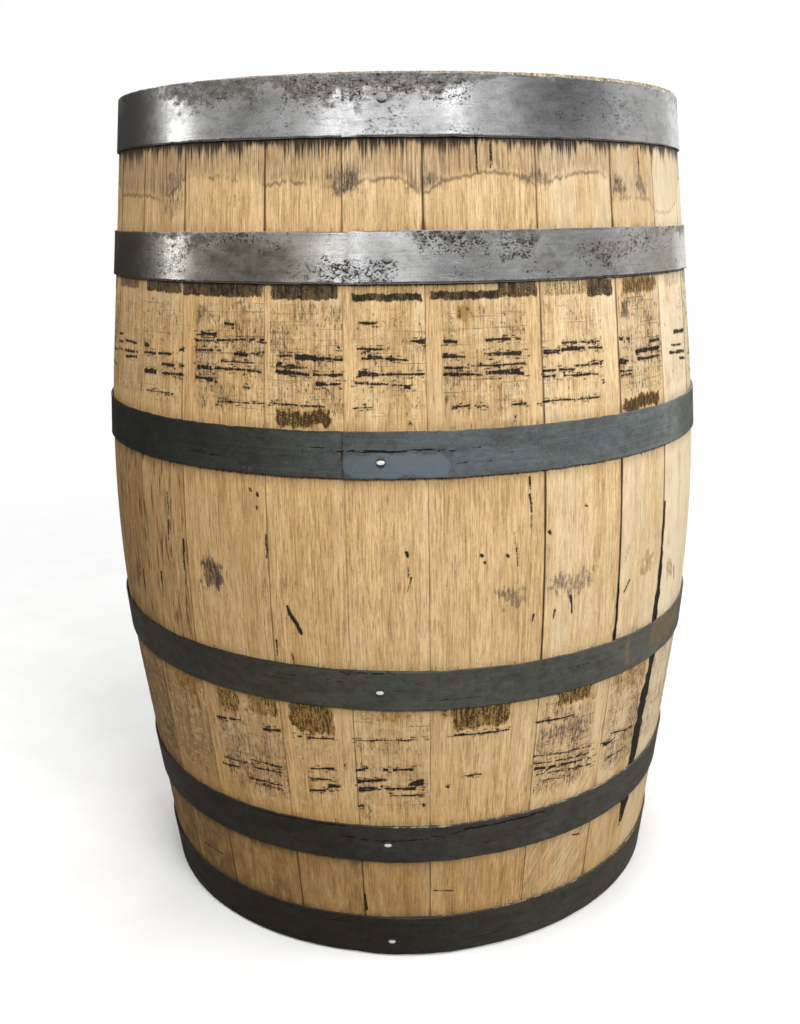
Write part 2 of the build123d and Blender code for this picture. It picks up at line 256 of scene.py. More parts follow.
# Patches: first and last angle, lowest and highest point, strength.
SOOT = [
    (-51.3, -40.2, 690.9, 703.9, 0.8), (-39.9, -22.9, 689.8, 703.9, 0.86), (-21.5, -10, 688.3, 703.9, 0.82),
    (-7.8, 3.1, 687.4, 694.1, 1), (-7.8, 3.1, 692.9, 702.9, 0.36), (4.3, 15.8, 687.5, 695, 0.95),
    (4.3, 15.8, 694, 703.1, 0.34), (15.5, 22.4, 688.1, 702.2, 0.8), (32.4, 38.3, 684.9, 701.4, 0.86),
    (23.6, 32.5, 687.3, 700.3, 0.5), (40.8, 51.4, 684.5, 700.6, 0.5), (55.4, 64, 686.7, 699.8, 0.4),
    (-66, -54.6, 691.9, 705, 0.6),
]
RUB = [
    (-20.5, -11.6, 577.9, 592.4, 1.22), (39.7, 51.2, 573.6, 588.6, 1.2), (-36.1, -31, 277.8, 304.5, 0.85),
    (-29.3, -23, 282, 306.6, 0.85), (-20.8, -12.7, 270.8, 306.6, 1.0), (-8.5, 2.2, 288.3, 302.6, 0.62),
    (7.1, 17.5, 277, 304.7, 1.02), (26.5, 34.8, 284.2, 302.6, 1.05), (40, 51.2, 273.6, 302.6, 0.75),
    (-48.1, -40.5, 278.5, 306.4, 0.75), (5.4, 7.3, 292.4, 303.6, 0.8), (45.1, 49.2, 403.6, 425.8, 0.72),
    (55.2, 59.9, 381.8, 404.1, 0.72), (40.8, 51.4, 685.5, 700.6, 1.0), (7.6, 11.6, 668, 682, 0.78),
    (-9.7, -6.7, 170.8, 206.3, 0.5), (-2, 2.5, 578, 592, 0.35), (-38, -28, 577.9, 586.9, 0.35),
]
GREY = [
    (23.2, 32.7, 406.2, 429.3, 0.8), (14.4, 19.4, 401, 426.1, 0.85), (-36.9, -31.6, 408, 444.1, 1.12),
    (-24.9, -22.7, 408.9, 430, 0.6), (-20.7, -17.2, 412.9, 438, 0.55), (40, 42, 423.6, 440.6, 0.7),
    (23.3, 35.2, 247, 265.6, 0.8), (40.5, 52.1, 176.4, 219.4, 0.72), (47.2, 51.4, 215.0, 262.0, 0.74), (-2.5, 0.9, 224.7, 233.9, 0.75),
    (-9.3, -6.7, 170.8, 206.3, 0.7), (-9.3, 2.5, 254.4, 261.6, 0.7), (15.7, 17.4, 672.1, 686.1, 0.7),
    (23.3, 24.4, 671.2, 683.2, 0.7), (40.1, 42.3, 662.4, 682.5, 1.1), (-27.1, -23.1, 674.8, 687.8, 0.6),
    (-15.5, -13.3, 672.8, 685.8, 0.6), (-37.7, -31.6, 247.8, 269.5, 0.6), (-37.5, -23.2, 205.8, 256.2, 0.55),
    (39.5, 42.8, 771.6, 789.5, 1), (46.3, 50.4, 773.8, 793.6, 0.9), (-45.6, -39.9, 759, 801.8, 0.75),
    (-11.6, -6, 775.9, 801.7, 0.95), (0.5, 7.3, 777.9, 791.9, 0.8), (19.3, 25.6, 782.2, 795.1, 0.85),
    (-29.4, -26.7, 765.9, 781.8, 0.6), (-33.1, -23.1, 717.9, 746.9, 0.15),
]
# Lower edge of the stain below the top hoop, angle and height.
TIDE = [
    (-66, 781.6), (-52.5, 780), (-45.7, 774), (-39.5, 795.5), (-30.4, 792.5), (-23, 786.5), (-22.6, 784.8),
    (-18.9, 788.6), (-16.3, 785.8), (-11.3, 782.9), (-9.1, 780.2), (-5.5, 788.2), (0, 789.4), (3.6, 775.8),
    (7.2, 787.4), (13.1, 793), (17.3, 792.9), (20.9, 788.8), (22.7, 782.2), (27.5, 788.9), (31.8, 794.2),
    (36.4, 794.4), (38.5, 787.6), (39.2, 770.1), (44.8, 772.7), (51, 770), (52.8, 758.9), (60.5, 758.7),
    (66.8, 771.6),
]
# How dark each front joint is in the five bands of wood, from the top down.
SEAMS = {
    0: (0.75, 0.5, 0.6, 0.5, 0.7), 1: (0.75, 0.55, 0.55, 0.5, 0.75), 2: (0.75, 0.5, 0.5, 0.45, 0.8),
    3: (0.88, 0.45, 0.55, 0.45, 0.8), 4: (0.62, 0.3, 0.35, 0.5, 0.7), 5: (0.82, 0.4, 0.4, 0.35, 0.6),
    6: (0.68, 0.7, 0.9, 0.55, 0.6), 7: (0.74, 0.75, 1.0, 0.5, 0.6), 8: (0.8, 0.7, 0.95, 0.7, 0.5),
}
# Tone of each front stave: minus is darker and redder, plus paler and greyer. The pale staves on the right are partly
# painted sheen, the dark ones on the far left partly painted shade.
TONES_AND_SHEEN = {0: -0.12, 1: -0.02, 2: 0.0, 3: 0.0, 4: 0.10, 5: 0.06, 6: 0.30, 7: 0.40, 8: 0.95, 9: 0.85, 24: -0.1}
# Grime on each front stave in the five bands of wood; it is partly painted shade, heaviest on the left-hand staves and
# towards the foot.
GRIME_AND_SHADE = {
    0: (0.12, 0.02, 0.66, 0.92, 1.0), 1: (0.06, 0.0, 0.38, 0.46, 0.94), 2: (0.0, 0.0, 0.17, 0.18, 0.76),
    3: (0.0, 0.0, 0.05, 0.0, 0.66), 4: (0.06, 0.0, 0.0, 0.0, 0.46), 5: (0.12, 0.12, 0.07, 0.0, 0.30),
    6: (0.19, 0.0, 0.04, 0.0, 0.24), 7: (0.22, 0.02, 0.06, 0.04, 0.26), 8: (0.10, 0.0, 0.02, 0.08, 0.24),
}
# Drying checks, the same way.
CHECKS = {
    0: (0.3, 0.5, 0.95, 0.85, 0.5), 1: (0.3, 0.4, 0.85, 0.75, 0.4), 2: (0.15, 0.3, 0.25, 0.4, 0.3),
    3: (0.15, 0.3, 0.2, 0.3, 0.3), 4: (0.1, 0.2, 0.1, 0.25, 0.2), 5: (0.1, 0.25, 0.15, 0.15, 0.15),
    6: (0.1, 0.25, 0.3, 0.3, 0.15), 7: (0.1, 0.35, 0.2, 0.3, 0.15), 8: (0.05, 0.15, 0.15, 0.4, 0.2),
}
# Chafed zone of each front stave in the second and the fourth band: strength, then
# the widths of the clean strips at its left and right edge.
WORN = {
    1: {0: (0.65, 0, 0), 1: (0.72, 0, 0), 2: (0.9, 18, 0), 3: (0.85, 5, 0), 4: (0.7, 9, 0), 5: (0.8, 15, 15),
        6: (0.6, 0, 22), 7: (0.85, 2, 0), 8: (0.5, 3, 3)},
    3: {0: (0.75, 0, 4), 1: (0.7, 2, 0), 2: (0.8, 20, 0), 3: (0.40, 11, 19), 4: (0.52, 0, 0), 5: (0.20, 18, 28),
        6: (0.85, 2, 18), 7: (0.8, 2, 0), 8: (0.7, 2, 2)},
}

n_staves = len(JOINTS) - 1
SEAM_BACK = {k: tuple(rng.uniform(0.3, 0.95, 5)) for k in range(len(JOINTS))}
TONE_BACK = rng.uniform(-0.45, 0.5, n_staves)
STAVE_OFF = rng.uniform(-0.75, -0.25, n_staves)
STAVE_TILT = rng.uniform(-0.22, 0.22, n_staves)
EDGE_R = rng.uniform(0.55, 1.15, len(JOINTS))
for k in range(9, n_staves):
    g0 = rng.uniform(0.0, 0.3)
    # grime on the back staves, heavier towards the foot, partly painted shade
    GRIME_AND_SHADE[k] = tuple(g0 + np.array([0.0, 0.06, 0.05, 0.22, 0.32]) * rng.uniform(0.4, 1.3, 5))
    CHECKS[k] = tuple(rng.uniform(0.1, 0.75, 5))
    if k == 9:
        GRIME_AND_SHADE[k] = (0.02, 0.04, 0.04, 0.14, 0.26)
    if k == 24:
        GRIME_AND_SHADE[k] = (0.12, 0.04, 0.58, 0.80, 0.9)
    for n in (1, 3):
        WORN[n][k] = (rng.uniform(0.3, 1.0), rng.choice([0, 0, 4, 9, 18]), rng.choice([0, 0, 3, 12, 22]))


def back_marks():
    """Strokes and patches for the staves that the front list doesn't reach."""
    strokes, runs, soot, rub, grey = [], [], [], [], []
    for k in range(9, n_staves):
        a, b = JOINTS[k], JOINTS[k + 1]
        w = b - a

        def at(t):
            return a + w * t
        for z in (668, 653, 647, 639, 631, 624, 615, 596, 267, 234, 224, 217, 210, 203):
            if rng.random() < (0.62 if z > 400 else 0.5):
                t0 = rng.uniform(0.03, 0.55)
                t1 = min(0.97, t0 + rng.uniform(0.12, 0.6))
                zz = z + rng.uniform(-3.5, 3.5)
                w0 = rng.choice([1.2, 1.4, 1.8, 2.4, 3.4, 4.4])
                strokes.append((at(t0), zz, at(t1), zz + rng.uniform(-2, 2), w0, w0 * rng.uniform(0.4, 1.0)))
        for _ in range(rng.integers(0, 4)):
            t0, z = rng.uniform(0.08, 0.92), rng.uniform(365, 510)
            runs.append((at(t0), z, at(t0 + rng.uniform(-.01, .01)), z - rng.uniform(2, 30), 2.2, 1.3))
        if rng.random() < 0.85:
            soot.append((at(0.06), at(rng.uniform(0.6, 0.97)), rng.uniform(684, 691), 703, rng.uniform(0.5, 1.0)))
        if rng.random() < 0.6:
            t0 = rng.uniform(0.05, 0.3)
            rub.append((at(t0), at(t0 + rng.uniform(0.3, 0.6)), rng.uniform(270, 285), 305, rng.uniform(0.7, 1.15)))
        if rng.random() < 0.5:
            t0 = rng.uniform(0.05, 0.4)
            rub.append((at(t0), at(t0 + rng.uniform(0.25, 0.55)), 574, 590, rng.uniform(0.5, 1.05)))
        for _ in range(3):
            t0, z = rng.uniform(0.04, 0.7), rng.choice([255, 215, 420, 470, 675, 780, 100])
            z = z + rng.uniform(-15, 15)
            grey.append((at(t0), at(t0 + rng.uniform(0.15, 0.3)), z - 10, z + 12, rng.uniform(0.4, 0.8)))
    # a long dark run of leaked spirit down one joint, and one under the bung
    x = JOINTS[12] + 0.8
    runs += [(x, 520, x, 440, 2.0, 4.0), (x, 440, x - 0.3, 346, 4.0, 6.0), (x - 0.3, 303, x - 1.2, 200, 6.0, 3.0)]
    runs += [(179.6, 411, 179.3, 352, 3.4, 2.2), (181.8, 412, 182.2, 385, 2.6, 1.2), (176.9, 414, 176.6, 396, 2.4, 1.0)]
    grey.append((173.5, 186.5, 380, 470, 0.75))
    return strokes, runs, soot, rub, grey


def ragged(strokes, seed):
    """Rubbed strokes: dry rows, uneven and broken along their length, with small dabs beside them."""
    r = np.random.default_rng(seed)
    per = math.radians(1.0) * R_BILGE
    out = []
    for p0, z0, p1, z1, w0, w1 in strokes:
        length = math.hypot((p1 - p0) * per, z1 - z0)
        rows = max(1, int(round(max(w0, w1) / 2.3)))
        for row in range(rows):
            t0 = r.uniform(0.0, 0.12) if rows > 1 else 0.0
            t1 = 1.0 - r.uniform(0.0, 0.16) if rows > 1 else 1.0
            n = max(2, int(length * (t1 - t0) / 4.5))
            t = np.linspace(t0, t1, n + 1)
            full = w0 + (w1 - w0) * t
            w = full / rows * r.uniform(0.75, 1.9, n + 1)
            dz = np.concatenate([[0], np.cumsum(r.uniform(-0.4, 0.4, n))])
            dz = dz - dz[-1] * np.linspace(0, 1, n + 1) + full * ((row + 0.5) / rows - 0.5)
            for i in range(n):
                if r.random() < 0.08:
                    continue
                out.append((p0 + (p1 - p0) * t[i], z0 + (z1 - z0) * t[i] + dz[i],
                            p0 + (p1 - p0) * t[i + 1], z0 + (z1 - z0) * t[i + 1] + dz[i + 1], w[i], w[i + 1]))
        for _ in range(2 + int(length / 4.5) if -54 < p0 < 54 else 0):
            tt, run = r.uniform(-0.06, 1.06), r.uniform(0.6, 5.5) / per
            off = r.choice([-1.0, 1.0]) * (0.5 * max(w0, w1) + r.uniform(0.3, 2.8))
            pc, zc, ww = p0 + (p1 - p0) * tt, z0 + (z1 - z0) * tt + off, r.uniform(0.4, 1.15)
            out.append((pc - run / 2, zc, pc + run / 2, zc + r.uniform(-0.4, 0.4), ww, ww * r.uniform(0.4, 1.0)))
    return out


def dribble(runs, seed):
    """Runs that swell, thin out and wander on their way down."""
    r = np.random.default_rng(seed)
    out = []
    for p0, z0, p1, z1, w0, w1 in runs:
        n = max(1, int(abs(z1 - z0) / 7.0))
        t = np.linspace(0, 1, n + 1)
        w = (w0 + (w1 - w0) * t) * r.uniform(0.68, 1.3, n + 1)
        q = p0 + (p1 - p0) * t + r.uniform(-0.16, 0.16, n + 1) * (n > 1)
        zz = z0 + (z1 - z0) * t
        out += [(q[i], zz[i], q[i + 1], zz[i + 1], w[i], w[i + 1]) for i in range(n)]
    return out


BACK_STROKES, BACK_RUNS, BACK_SOOT, BACK_RUB, BACK_GREY = back_marks()
STROKES = ragged(SCUFFS_UPPER + SCUFFS_LOWER + BACK_STROKES, 77) + FAINT
RUNS = dribble(SPECKS + LEAKS + BACK_RUNS, 83)
SOOT, RUB, GREY = SOOT + BACK_SOOT, RUB + BACK_RUB, GREY + BACK_GREY
TIDE_A = np.array([p[0] for p in TIDE])
TIDE_Z = np.array([p[1] for p in TIDE])


def stroke_cover(phi, z, a, b, strokes, most):
    """0.5 at a stroke's edge, more inside it, falling 1 for each 1.5 mm outside."""
    cover = np.full(phi.shape, -9.0)
    for p0, z0, p1, z1, w0, w1 in strokes:
        if max(p0, p1) < a - 1.0 or min(p0, p1) > b + 1.0:
            continue
        wide = max(w0, w1) / 2 + 2.6
        per = math.radians(1.0) * float(outer_radius((z0 + z1) / 2))
        near = np.where((z > min(z0, z1) - wide) & (z < max(z0, z1) + wide)
                        & (phi > min(p0, p1) - wide / per) & (phi < max(p0, p1) + wide / per))[0]
        if not len(near):
            continue
        x, y = (phi[near] - p0) * per, z[near] - z0
        dx, dy = (p1 - p0) * per, z1 - z0
        size = math.hypot(dx, dy) + 1e-6
        along, aside = (x * dx + y * dy) / size, np.abs(x * dy - y * dx) / size
        over = np.maximum(along - size, -along)
        t = np.clip(along / size, 0, 1)
        half = (w0 + (w1 - w0) * t) / 2
        if most > 1.0:      # runs are rounded at their ends, rubbed strokes square
            d = np.hypot(aside, np.maximum(over, 0)) - half
        else:
            d = np.maximum(aside - half, over - 0.35)
        cover[near] = np.maximum(cover[near], 0.5 - d / 1.5)
    return np.clip(cover, -1.0, most)


def patch_cover(phi, z, a, b, patches, soft=2.5, rough=5.0, seed=70, rounding=0.7):
    """Soft blots with wandering borders, more ragged along the grain than across it."""
    per = math.radians(1.0) * R_BILGE
    x = phi * per
    wx = 2.0 * (fbm(x / 12.0, z / 15.0, seed) - 0.5) + 0.9 * (vnoise(x / 3.0, z / 4.0, seed + 3) - 0.5)
    wz = 2.2 * (fbm(x / 4.5, z / 34.0, seed + 9) - 0.5) + 0.9 * (vnoise(x / 2.2, z / 7.0, seed + 5) - 0.5)
    total = np.zeros(phi.shape)
    for p0, p1, z0, z1, s in patches:
        if p1 < a - 2.0 or p0 > b + 2.0:
            continue
        hw, hh = (p1 - p0) * per / 2, (z1 - z0) / 2
        k = min(rough, 0.75 * hw, 0.9 * hh)
        corner = rounding * min(hw, hh)
        dx = np.abs(x + k * wx - (p0 + p1) / 2 * per) - hw + corner
        dz = np.abs(z + k * wz - (z0 + z1) / 2) - hh + corner
        d = np.hypot(np.maximum(dx, 0), np.maximum(dz, 0)) + np.minimum(np.maximum(dx, dz), 0) - corner
        total = np.maximum(total, s * (1.0 - ramp(d, -soft, soft)))
    return total


def wood_fields(phi, z, k):
    """Everything the oak's material needs to know at a point of stave k's outer face."""
    a, b = JOINTS[k], JOINTS[k + 1]
    r = outer_radius(z)
    x = r * np.sin(np.radians(phi))
    low = [z0 + x * math.tan(math.radians(lean)) for _, z0, z1, lean, _, _ in HOOPS]
    high = [z1 + x * math.tan(math.radians(lean)) for _, z0, z1, lean, _, _ in HOOPS]
    mids = [(h[1] + h[2]) / 2 for h in HOOPS]
    band = np.full(z.shape, -1)
    below = np.full(z.shape, 200.0)     # distance under the hoop above
    above = np.full(z.shape, 200.0)     # distance over the hoop below
    for n in range(5):
        here = (z < mids[n]) & (z >= mids[n + 1])
        band[here] = n
        below[here] = (low[n] - z)[here]
        above[here] = (z - high[n + 1])[here]
    which = np.clip(band, 0, 4)
    per = math.radians(1.0) * R_BILGE
    left, right = (phi - a) * per, (b - phi) * per
    s = left

    # black comb of stains under the hoops, longest under the top one; under the lower hoops it is only a thin dark
    # line, partly painted shadow
    wander = fbm(phi * 0.55, 3.0 + 0 * z, 5)
    comb = vnoise(phi * per / 2.6, 0 * z + 1.5, 6) * 0.5 + vnoise(phi * per / 7.0, 0 * z + 2.5, 8) * 0.5
    length = np.choose(which, [np.interp(phi, [-66, -20, 5, 50, 294], [1.35, 1.25, 1.0, 0.9, 1.2]) * (4 + 14 * ramp(wander, 0.2, 0.75) * (0.55 + 0.8 * comb)), 1.5 + 2 * comb, 1.2 + 2 * comb,
                               1.5 + 2.5 * comb, 1.5 + 2.5 * comb])
    fringe_and_shadow = np.clip(1.15 - below / length, -1, 1.2) * np.where(band == 0, 1.0, 0.8)
    fringe_and_shadow = np.where(band < 0, -1.0, fringe_and_shadow)

    t = (phi - a) / (b - a)
    arch = 787 + 9 * (1 - (2 * t - 1) ** 2) - 7 * np.exp(-np.minimum(t, 1 - t) * 9) + 6 * (vnoise(phi * 0.2, 0 * z, 9) - .5)
    line = arch if a > 66 else np.interp(phi, TIDE_A, TIDE_Z)
    line = line + 3.0 * (fbm(phi * 1.3, 0 * z, 12) - 0.5) + 1.6 * (vnoise(phi * per / 2.0, 0 * z, 13) - 0.5)
    tide = np.where(band == 0, np.clip(z - line, -60, 60), -60.0)

    soak = np.interp(phi, [-66, 37.5, 40.5, 51.5, 54, 66, 74], [1.0, 1.0, 0.42, 0.36, 0.20, 0.24, 1.0])
    sawn = np.zeros(z.shape)
    if k in (6, 13, 19):
        sawn = ramp(z, 212, 172) if k != 13 else ramp(z, 640, 690)

    wash = patch_cover(phi, z, a, b, SOOT, 1.6, 1.4, 71, 0.3)
    black = np.maximum(stroke_cover(phi, z, a, b, STROKES, 0.94), stroke_cover(phi, z, a, b, RUNS, 1.2))
    rub = np.maximum(patch_cover(phi, z, a, b, [q for q in RUB if q[4] >= 0.8], 3.2, 4.6, 75, 0.5),
                     patch_cover(phi, z, a, b, [q for q in RUB if q[4] < 0.8], 5.0, 9.0, 77, 0.9))
    grey = patch_cover(phi, z, a, b, GREY, 6.0, 8.0, 79)
    grey = np.maximum(grey, 0.5 * ramp(above, 9, 0) * (band >= 0) * fbm(phi * 0.8, 0 * z, 81) * 1.6)
    strength_l = np.choose(which, SEAMS[k] if k in SEAMS else SEAM_BACK[k])
    k2 = (k + 1) % n_staves
    strength_r = np.choose(which, SEAMS[k2] if k2 in SEAMS else SEAM_BACK[k2])
    reach_l = 0.7 + 1.3 * strength_l * (0.3 + 1.1 * fbm(z / 26, 0 * z + 7.7 * k, 31))
    reach_r = 0.7 + 1.3 * strength_r * (0.3 + 1.1 * fbm(z / 26, 0 * z + 7.7 * k2, 31))
    # dirt gathers where some of the joints meet the hoop under them
    wedge = ramp(above, 13, 0) * np.where(band == 0, 1.2, 0.8)
    wet_l, wet_r = (2.2 * float(vnoise(1.7 * q + 0.3, 0.0, 33)) ** 2 for q in (k, k2))
    seam = np.maximum(strength_l * np.exp(-(left / (reach_l + wet_l * wedge)) ** 2),
                      strength_r * np.exp(-(right / (reach_r + wet_r * wedge)) ** 2))

    worn, clean = np.zeros(z.shape), np.zeros(z.shape)
    for n, (z0, z1) in ((1, (580, 693)), (3, (178, 303))):
        strong, lm, rm = WORN[n][k]
        rag = 4.0 * (fbm(s / 5.0, z / 16.0, 90 + k) - 0.5)
        inside = np.ones(z.shape)
        if lm:
            inside = inside * ramp(left + rag, lm - 1.5, lm + 1.5)
        if rm:
            inside = inside * ramp(right + rag, rm - 1.5, rm + 1.5)
        tall = ramp(z, z0 - 6, z0 + 16) * ramp(z, z1 + 5, z1 - 14)
        here = band == n
        worn = np.where(here, strong * inside * tall * (0.45 + 1.1 * fbm(s / 18.0, z / 20.0, 95 + k)), worn)
        clean = np.where(here, (1.0 - inside) * tall, clean)
    # partly painted shadow: darker for 14 mm under each hoop but the top one; grime for 12 mm over each hoop
    dirt_and_shade = np.choose(which, GRIME_AND_SHADE[k]) + 0.30 * ramp(below, 14, 0) * (band > 0) + np.where(band == 1, 0.30, 0.16) * ramp(above, 12, 0)
    dirt_and_shade = dirt_and_shade * (0.75 + 0.5 * fbm(s / 26.0, z / 60.0, 110 + k))
    tone_and_sheen = TONES_AND_SHEEN.get(k, TONE_BACK[k]) + 0.45 * (fbm(s / 26, z / 120, 60 + k) - 0.5) * 2 + 0.10 * clean
    check = np.choose(which, CHECKS[k])
    # redder and darker towards the foot, and painted shade: redder and darker on the side that lies in shade, less red
    # on the lit right
    warmth_and_shade = np.interp(z, [40, 110, 240, 440, 640, 780], [0.95, 0.9, 0.36, 0.28, 0.30, 0.0])
    warmth_and_shade = warmth_and_shade + np.interp(phi, [-66, -30, 0, 30, 66, 120, 180, 240, 294], [0.4, 0.3, 0.0, -0.25, -0.3, 0.0, 0.1, 0.2, 0.4])
    # weathered rim over the top hoop
    rim = z > high[0] - 3.0
    grey, dirt_and_shade = np.where(rim, 0.86, grey), np.where(rim, 0.06, dirt_and_shade)
    tone_and_sheen, warmth_and_shade = np.where(rim, 0.7, tone_and_sheen), np.where(rim, 0.0, warmth_and_shade)
    return {"fringe_and_shadow": fringe_and_shadow, "tide": tide, "black": black, "wash": wash, "rub": rub, "grey": grey, "seam": seam,
            "dirt_and_shade": dirt_and_shade, "worn": worn, "check": check, "soak": soak, "sawn": sawn, "tone_and_sheen": np.clip(tone_and_sheen, -1, 1),
            "warmth_and_shade": np.clip(warmth_and_shade, 0, 1)}


# ------------------------------------------------------------------ meshes
def build(name, co, quads, ngons=(), mats=(), mat_ids=None, fields=None, vectors=None, uv=None, sharp=32.0):
    quads = np.asarray(quads, np.int64).reshape(-1, 4)
    flat = [quads.ravel()] + [np.asarray(g, np.int64) for g in ngons]
    loops = np.concatenate(flat)
    counts = np.concatenate([np.full(len(quads), 4, np.int64), np.array([len(g) for g in ngons], np.int64)])
    used = np.unique(loops)
    remap = np.full(len(co), -1, np.int64)
    remap[used] = np.arange(len(used))
    me = bpy.data.meshes.new(name)
    me.vertices.add(len(used))
    me.vertices.foreach_set("co", np.ascontiguousarray(co[used], np.float32).ravel())
    me.loops.add(len(loops))
    me.loops.foreach_set("vertex_index", remap[loops].astype(np.int32))
    me.polygons.add(len(counts))
    starts = np.concatenate([[0], np.cumsum(counts)[:-1]])
    me.polygons.foreach_set("loop_start", starts.astype(np.int32))
    me.polygons.foreach_set("use_smooth", np.ones(len(counts), bool))
    for m in mats:
        me.materials.append(m)
    if mat_ids is not None:
        me.polygons.foreach_set("material_index", np.asarray(mat_ids, np.int32))
    me.update(calc_edges=True)
    for key, value in (fields or {}).items():
        at = me.attributes.new(key, "FLOAT", "POINT")
        at.data.foreach_set("value", np.ascontiguousarray(value[used], np.float32))
    for key, value in (vectors or {}).items():
        at = me.attributes.new(key, "FLOAT_VECTOR", "POINT")
        at.data.foreach_set("vector", np.ascontiguousarray(value[used], np.float32).ravel())
    if uv is not None:
        layer = me.uv_layers.new(name="OFBake")
        layer.data.foreach_set("uv", np.ascontiguousarray(uv, np.float32).ravel())
    me.validate()
    me.set_sharp_from_angle(angle=math.radians(sharp))
    obj = bpy.data.objects.new(name, me)
    scene.collection.objects.link(obj)
    return obj


def grid_quads(idx, wrap_j=False):
    """Quads over a table of vertex numbers, first index to the right, second upwards."""
    a, b = idx[:-1], idx[1:]
    if wrap_j:
        return np.stack([a, b, np.roll(b, -1, 1), np.roll(a, -1, 1)], -1)
    return np.stack([a[:, :-1], b[:, :-1], b[:, 1:], a[:, 1:]], -1)


# ------------------------------------------------------------------ node helper
class Graph:
    def __init__(self, name):
        self.mat = bpy.data.materials.new(name)
        self.mat.use_nodes = True
        self.tree = self.mat.node_tree
        self.tree.nodes.clear()
        self.out = self.node("ShaderNodeOutputMaterial")
        self.bsdf = self.node("ShaderNodeBsdfPrincipled")
        self.tree.links.new(self.bsdf.outputs[0], self.out.inputs[0])

    def node(self, kind, **props):
        n = self.tree.nodes.new(kind)
        for key, value in props.items():
            setattr(n, key, value)
        return n

    def put(self, sock, value):
        if isinstance(value, bpy.types.NodeSocket):
            self.tree.links.new(value, sock)
        elif sock.type == "RGBA" and len(value) == 3:
            sock.default_value = (*value, 1.0)
        else:
            sock.default_value = value

    def set(self, name, value):
        self.put(self.bsdf.inputs[name], value)

    def attr(self, name):
        return self.node("ShaderNodeAttribute", attribute_name=name).outputs["Fac"]

    def vec(self, name):
        return self.node("ShaderNodeAttribute", attribute_name=name).outputs["Vector"]

    def math(self, op, a, b=0.0, clamp=False):
        n = self.node("ShaderNodeMath", operation=op, use_clamp=clamp)
        self.put(n.inputs[0], a)
        self.put(n.inputs[1], b)
        return n.outputs[0]

    def add(self, a, b):
        return self.math("ADD", a, b)

    def sub(self, a, b):
        return self.math("SUBTRACT", a, b)

    def mul(self, a, b):
        return self.math("MULTIPLY", a, b)

    def top(self, a, b):
        return self.math("MAXIMUM", a, b)

    def scaled(self, vec, scale, shift=(0.0, 0.0, 0.0)):
        n = self.node("ShaderNodeVectorMath", operation="MULTIPLY_ADD")
        self.put(n.inputs[0], vec)
        n.inputs[1].default_value = scale
        n.inputs[2].default_value = shift
        return n.outputs[0]

    def turned(self, vec, across, along, depth):
        n = self.node("ShaderNodeCombineXYZ")
        for i, (p, q) in enumerate((across, along)):
            d = self.node("ShaderNodeVectorMath", operation="DOT_PRODUCT")
            self.put(d.inputs[0], vec)
            d.inputs[1].default_value = (p, q, 0.0)
            self.put(n.inputs[i], d.outputs["Value"])
        n.inputs[2].default_value = depth
        return n.outputs[0]

    def noise(self, vec, detail=2.0, rough=0.5, warp=0.0, scale=1.0):
        n = self.node("ShaderNodeTexNoise", noise_dimensions="3D")
        self.put(n.inputs["Vector"], vec)
        n.inputs["Scale"].default_value = scale
        n.inputs["Detail"].default_value = detail
        n.inputs["Roughness"].default_value = rough
        n.inputs["Distortion"].default_value = warp
        return n.outputs[0]

    def cells(self, vec, feature="F1", scale=1.0, rand=1.0):
        n = self.node("ShaderNodeTexVoronoi", feature=feature)
        self.put(n.inputs["Vector"], vec)
        n.inputs["Scale"].default_value = scale
        n.inputs["Randomness"].default_value = rand
        return n.outputs["Distance"]

    def ease(self, x, a, b):
        n = self.node("ShaderNodeMapRange", interpolation_type="SMOOTHSTEP")
        self.put(n.inputs["Value"], x)
        n.inputs["From Min"].default_value = a
        n.inputs["From Max"].default_value = b
        return n.outputs[0]

    def span(self, x, a, b, lo, hi):
        n = self.node("ShaderNodeMapRange")
        self.put(n.inputs["Value"], x)
        for key, value in (("From Min", a), ("From Max", b), ("To Min", lo), ("To Max", hi)):
            n.inputs[key].default_value = value
        return n.outputs[0]

    def mix(self, fac, a, b, blend="MIX"):
        n = self.node("ShaderNodeMix", data_type="RGBA", blend_type=blend)
        self.put(n.inputs[0], fac)
        self.put(n.inputs[6], a)
        self.put(n.inputs[7], b)
        return n.outputs[2]

    def lerp(self, fac, a, b):
        n = self.node("ShaderNodeMix", data_type="FLOAT")
        self.put(n.inputs[0], fac)
        self.put(n.inputs[2], a)
        self.put(n.inputs[3], b)
        return n.outputs[0]

    def bump(self, height, strength, distance):
        n = self.node("ShaderNodeBump")
        n.inputs["Strength"].default_value = strength
        n.inputs["Distance"].default_value = distance
        self.put(n.inputs["Height"], height)
        self.put(self.bsdf.inputs["Normal"], n.outputs[0])


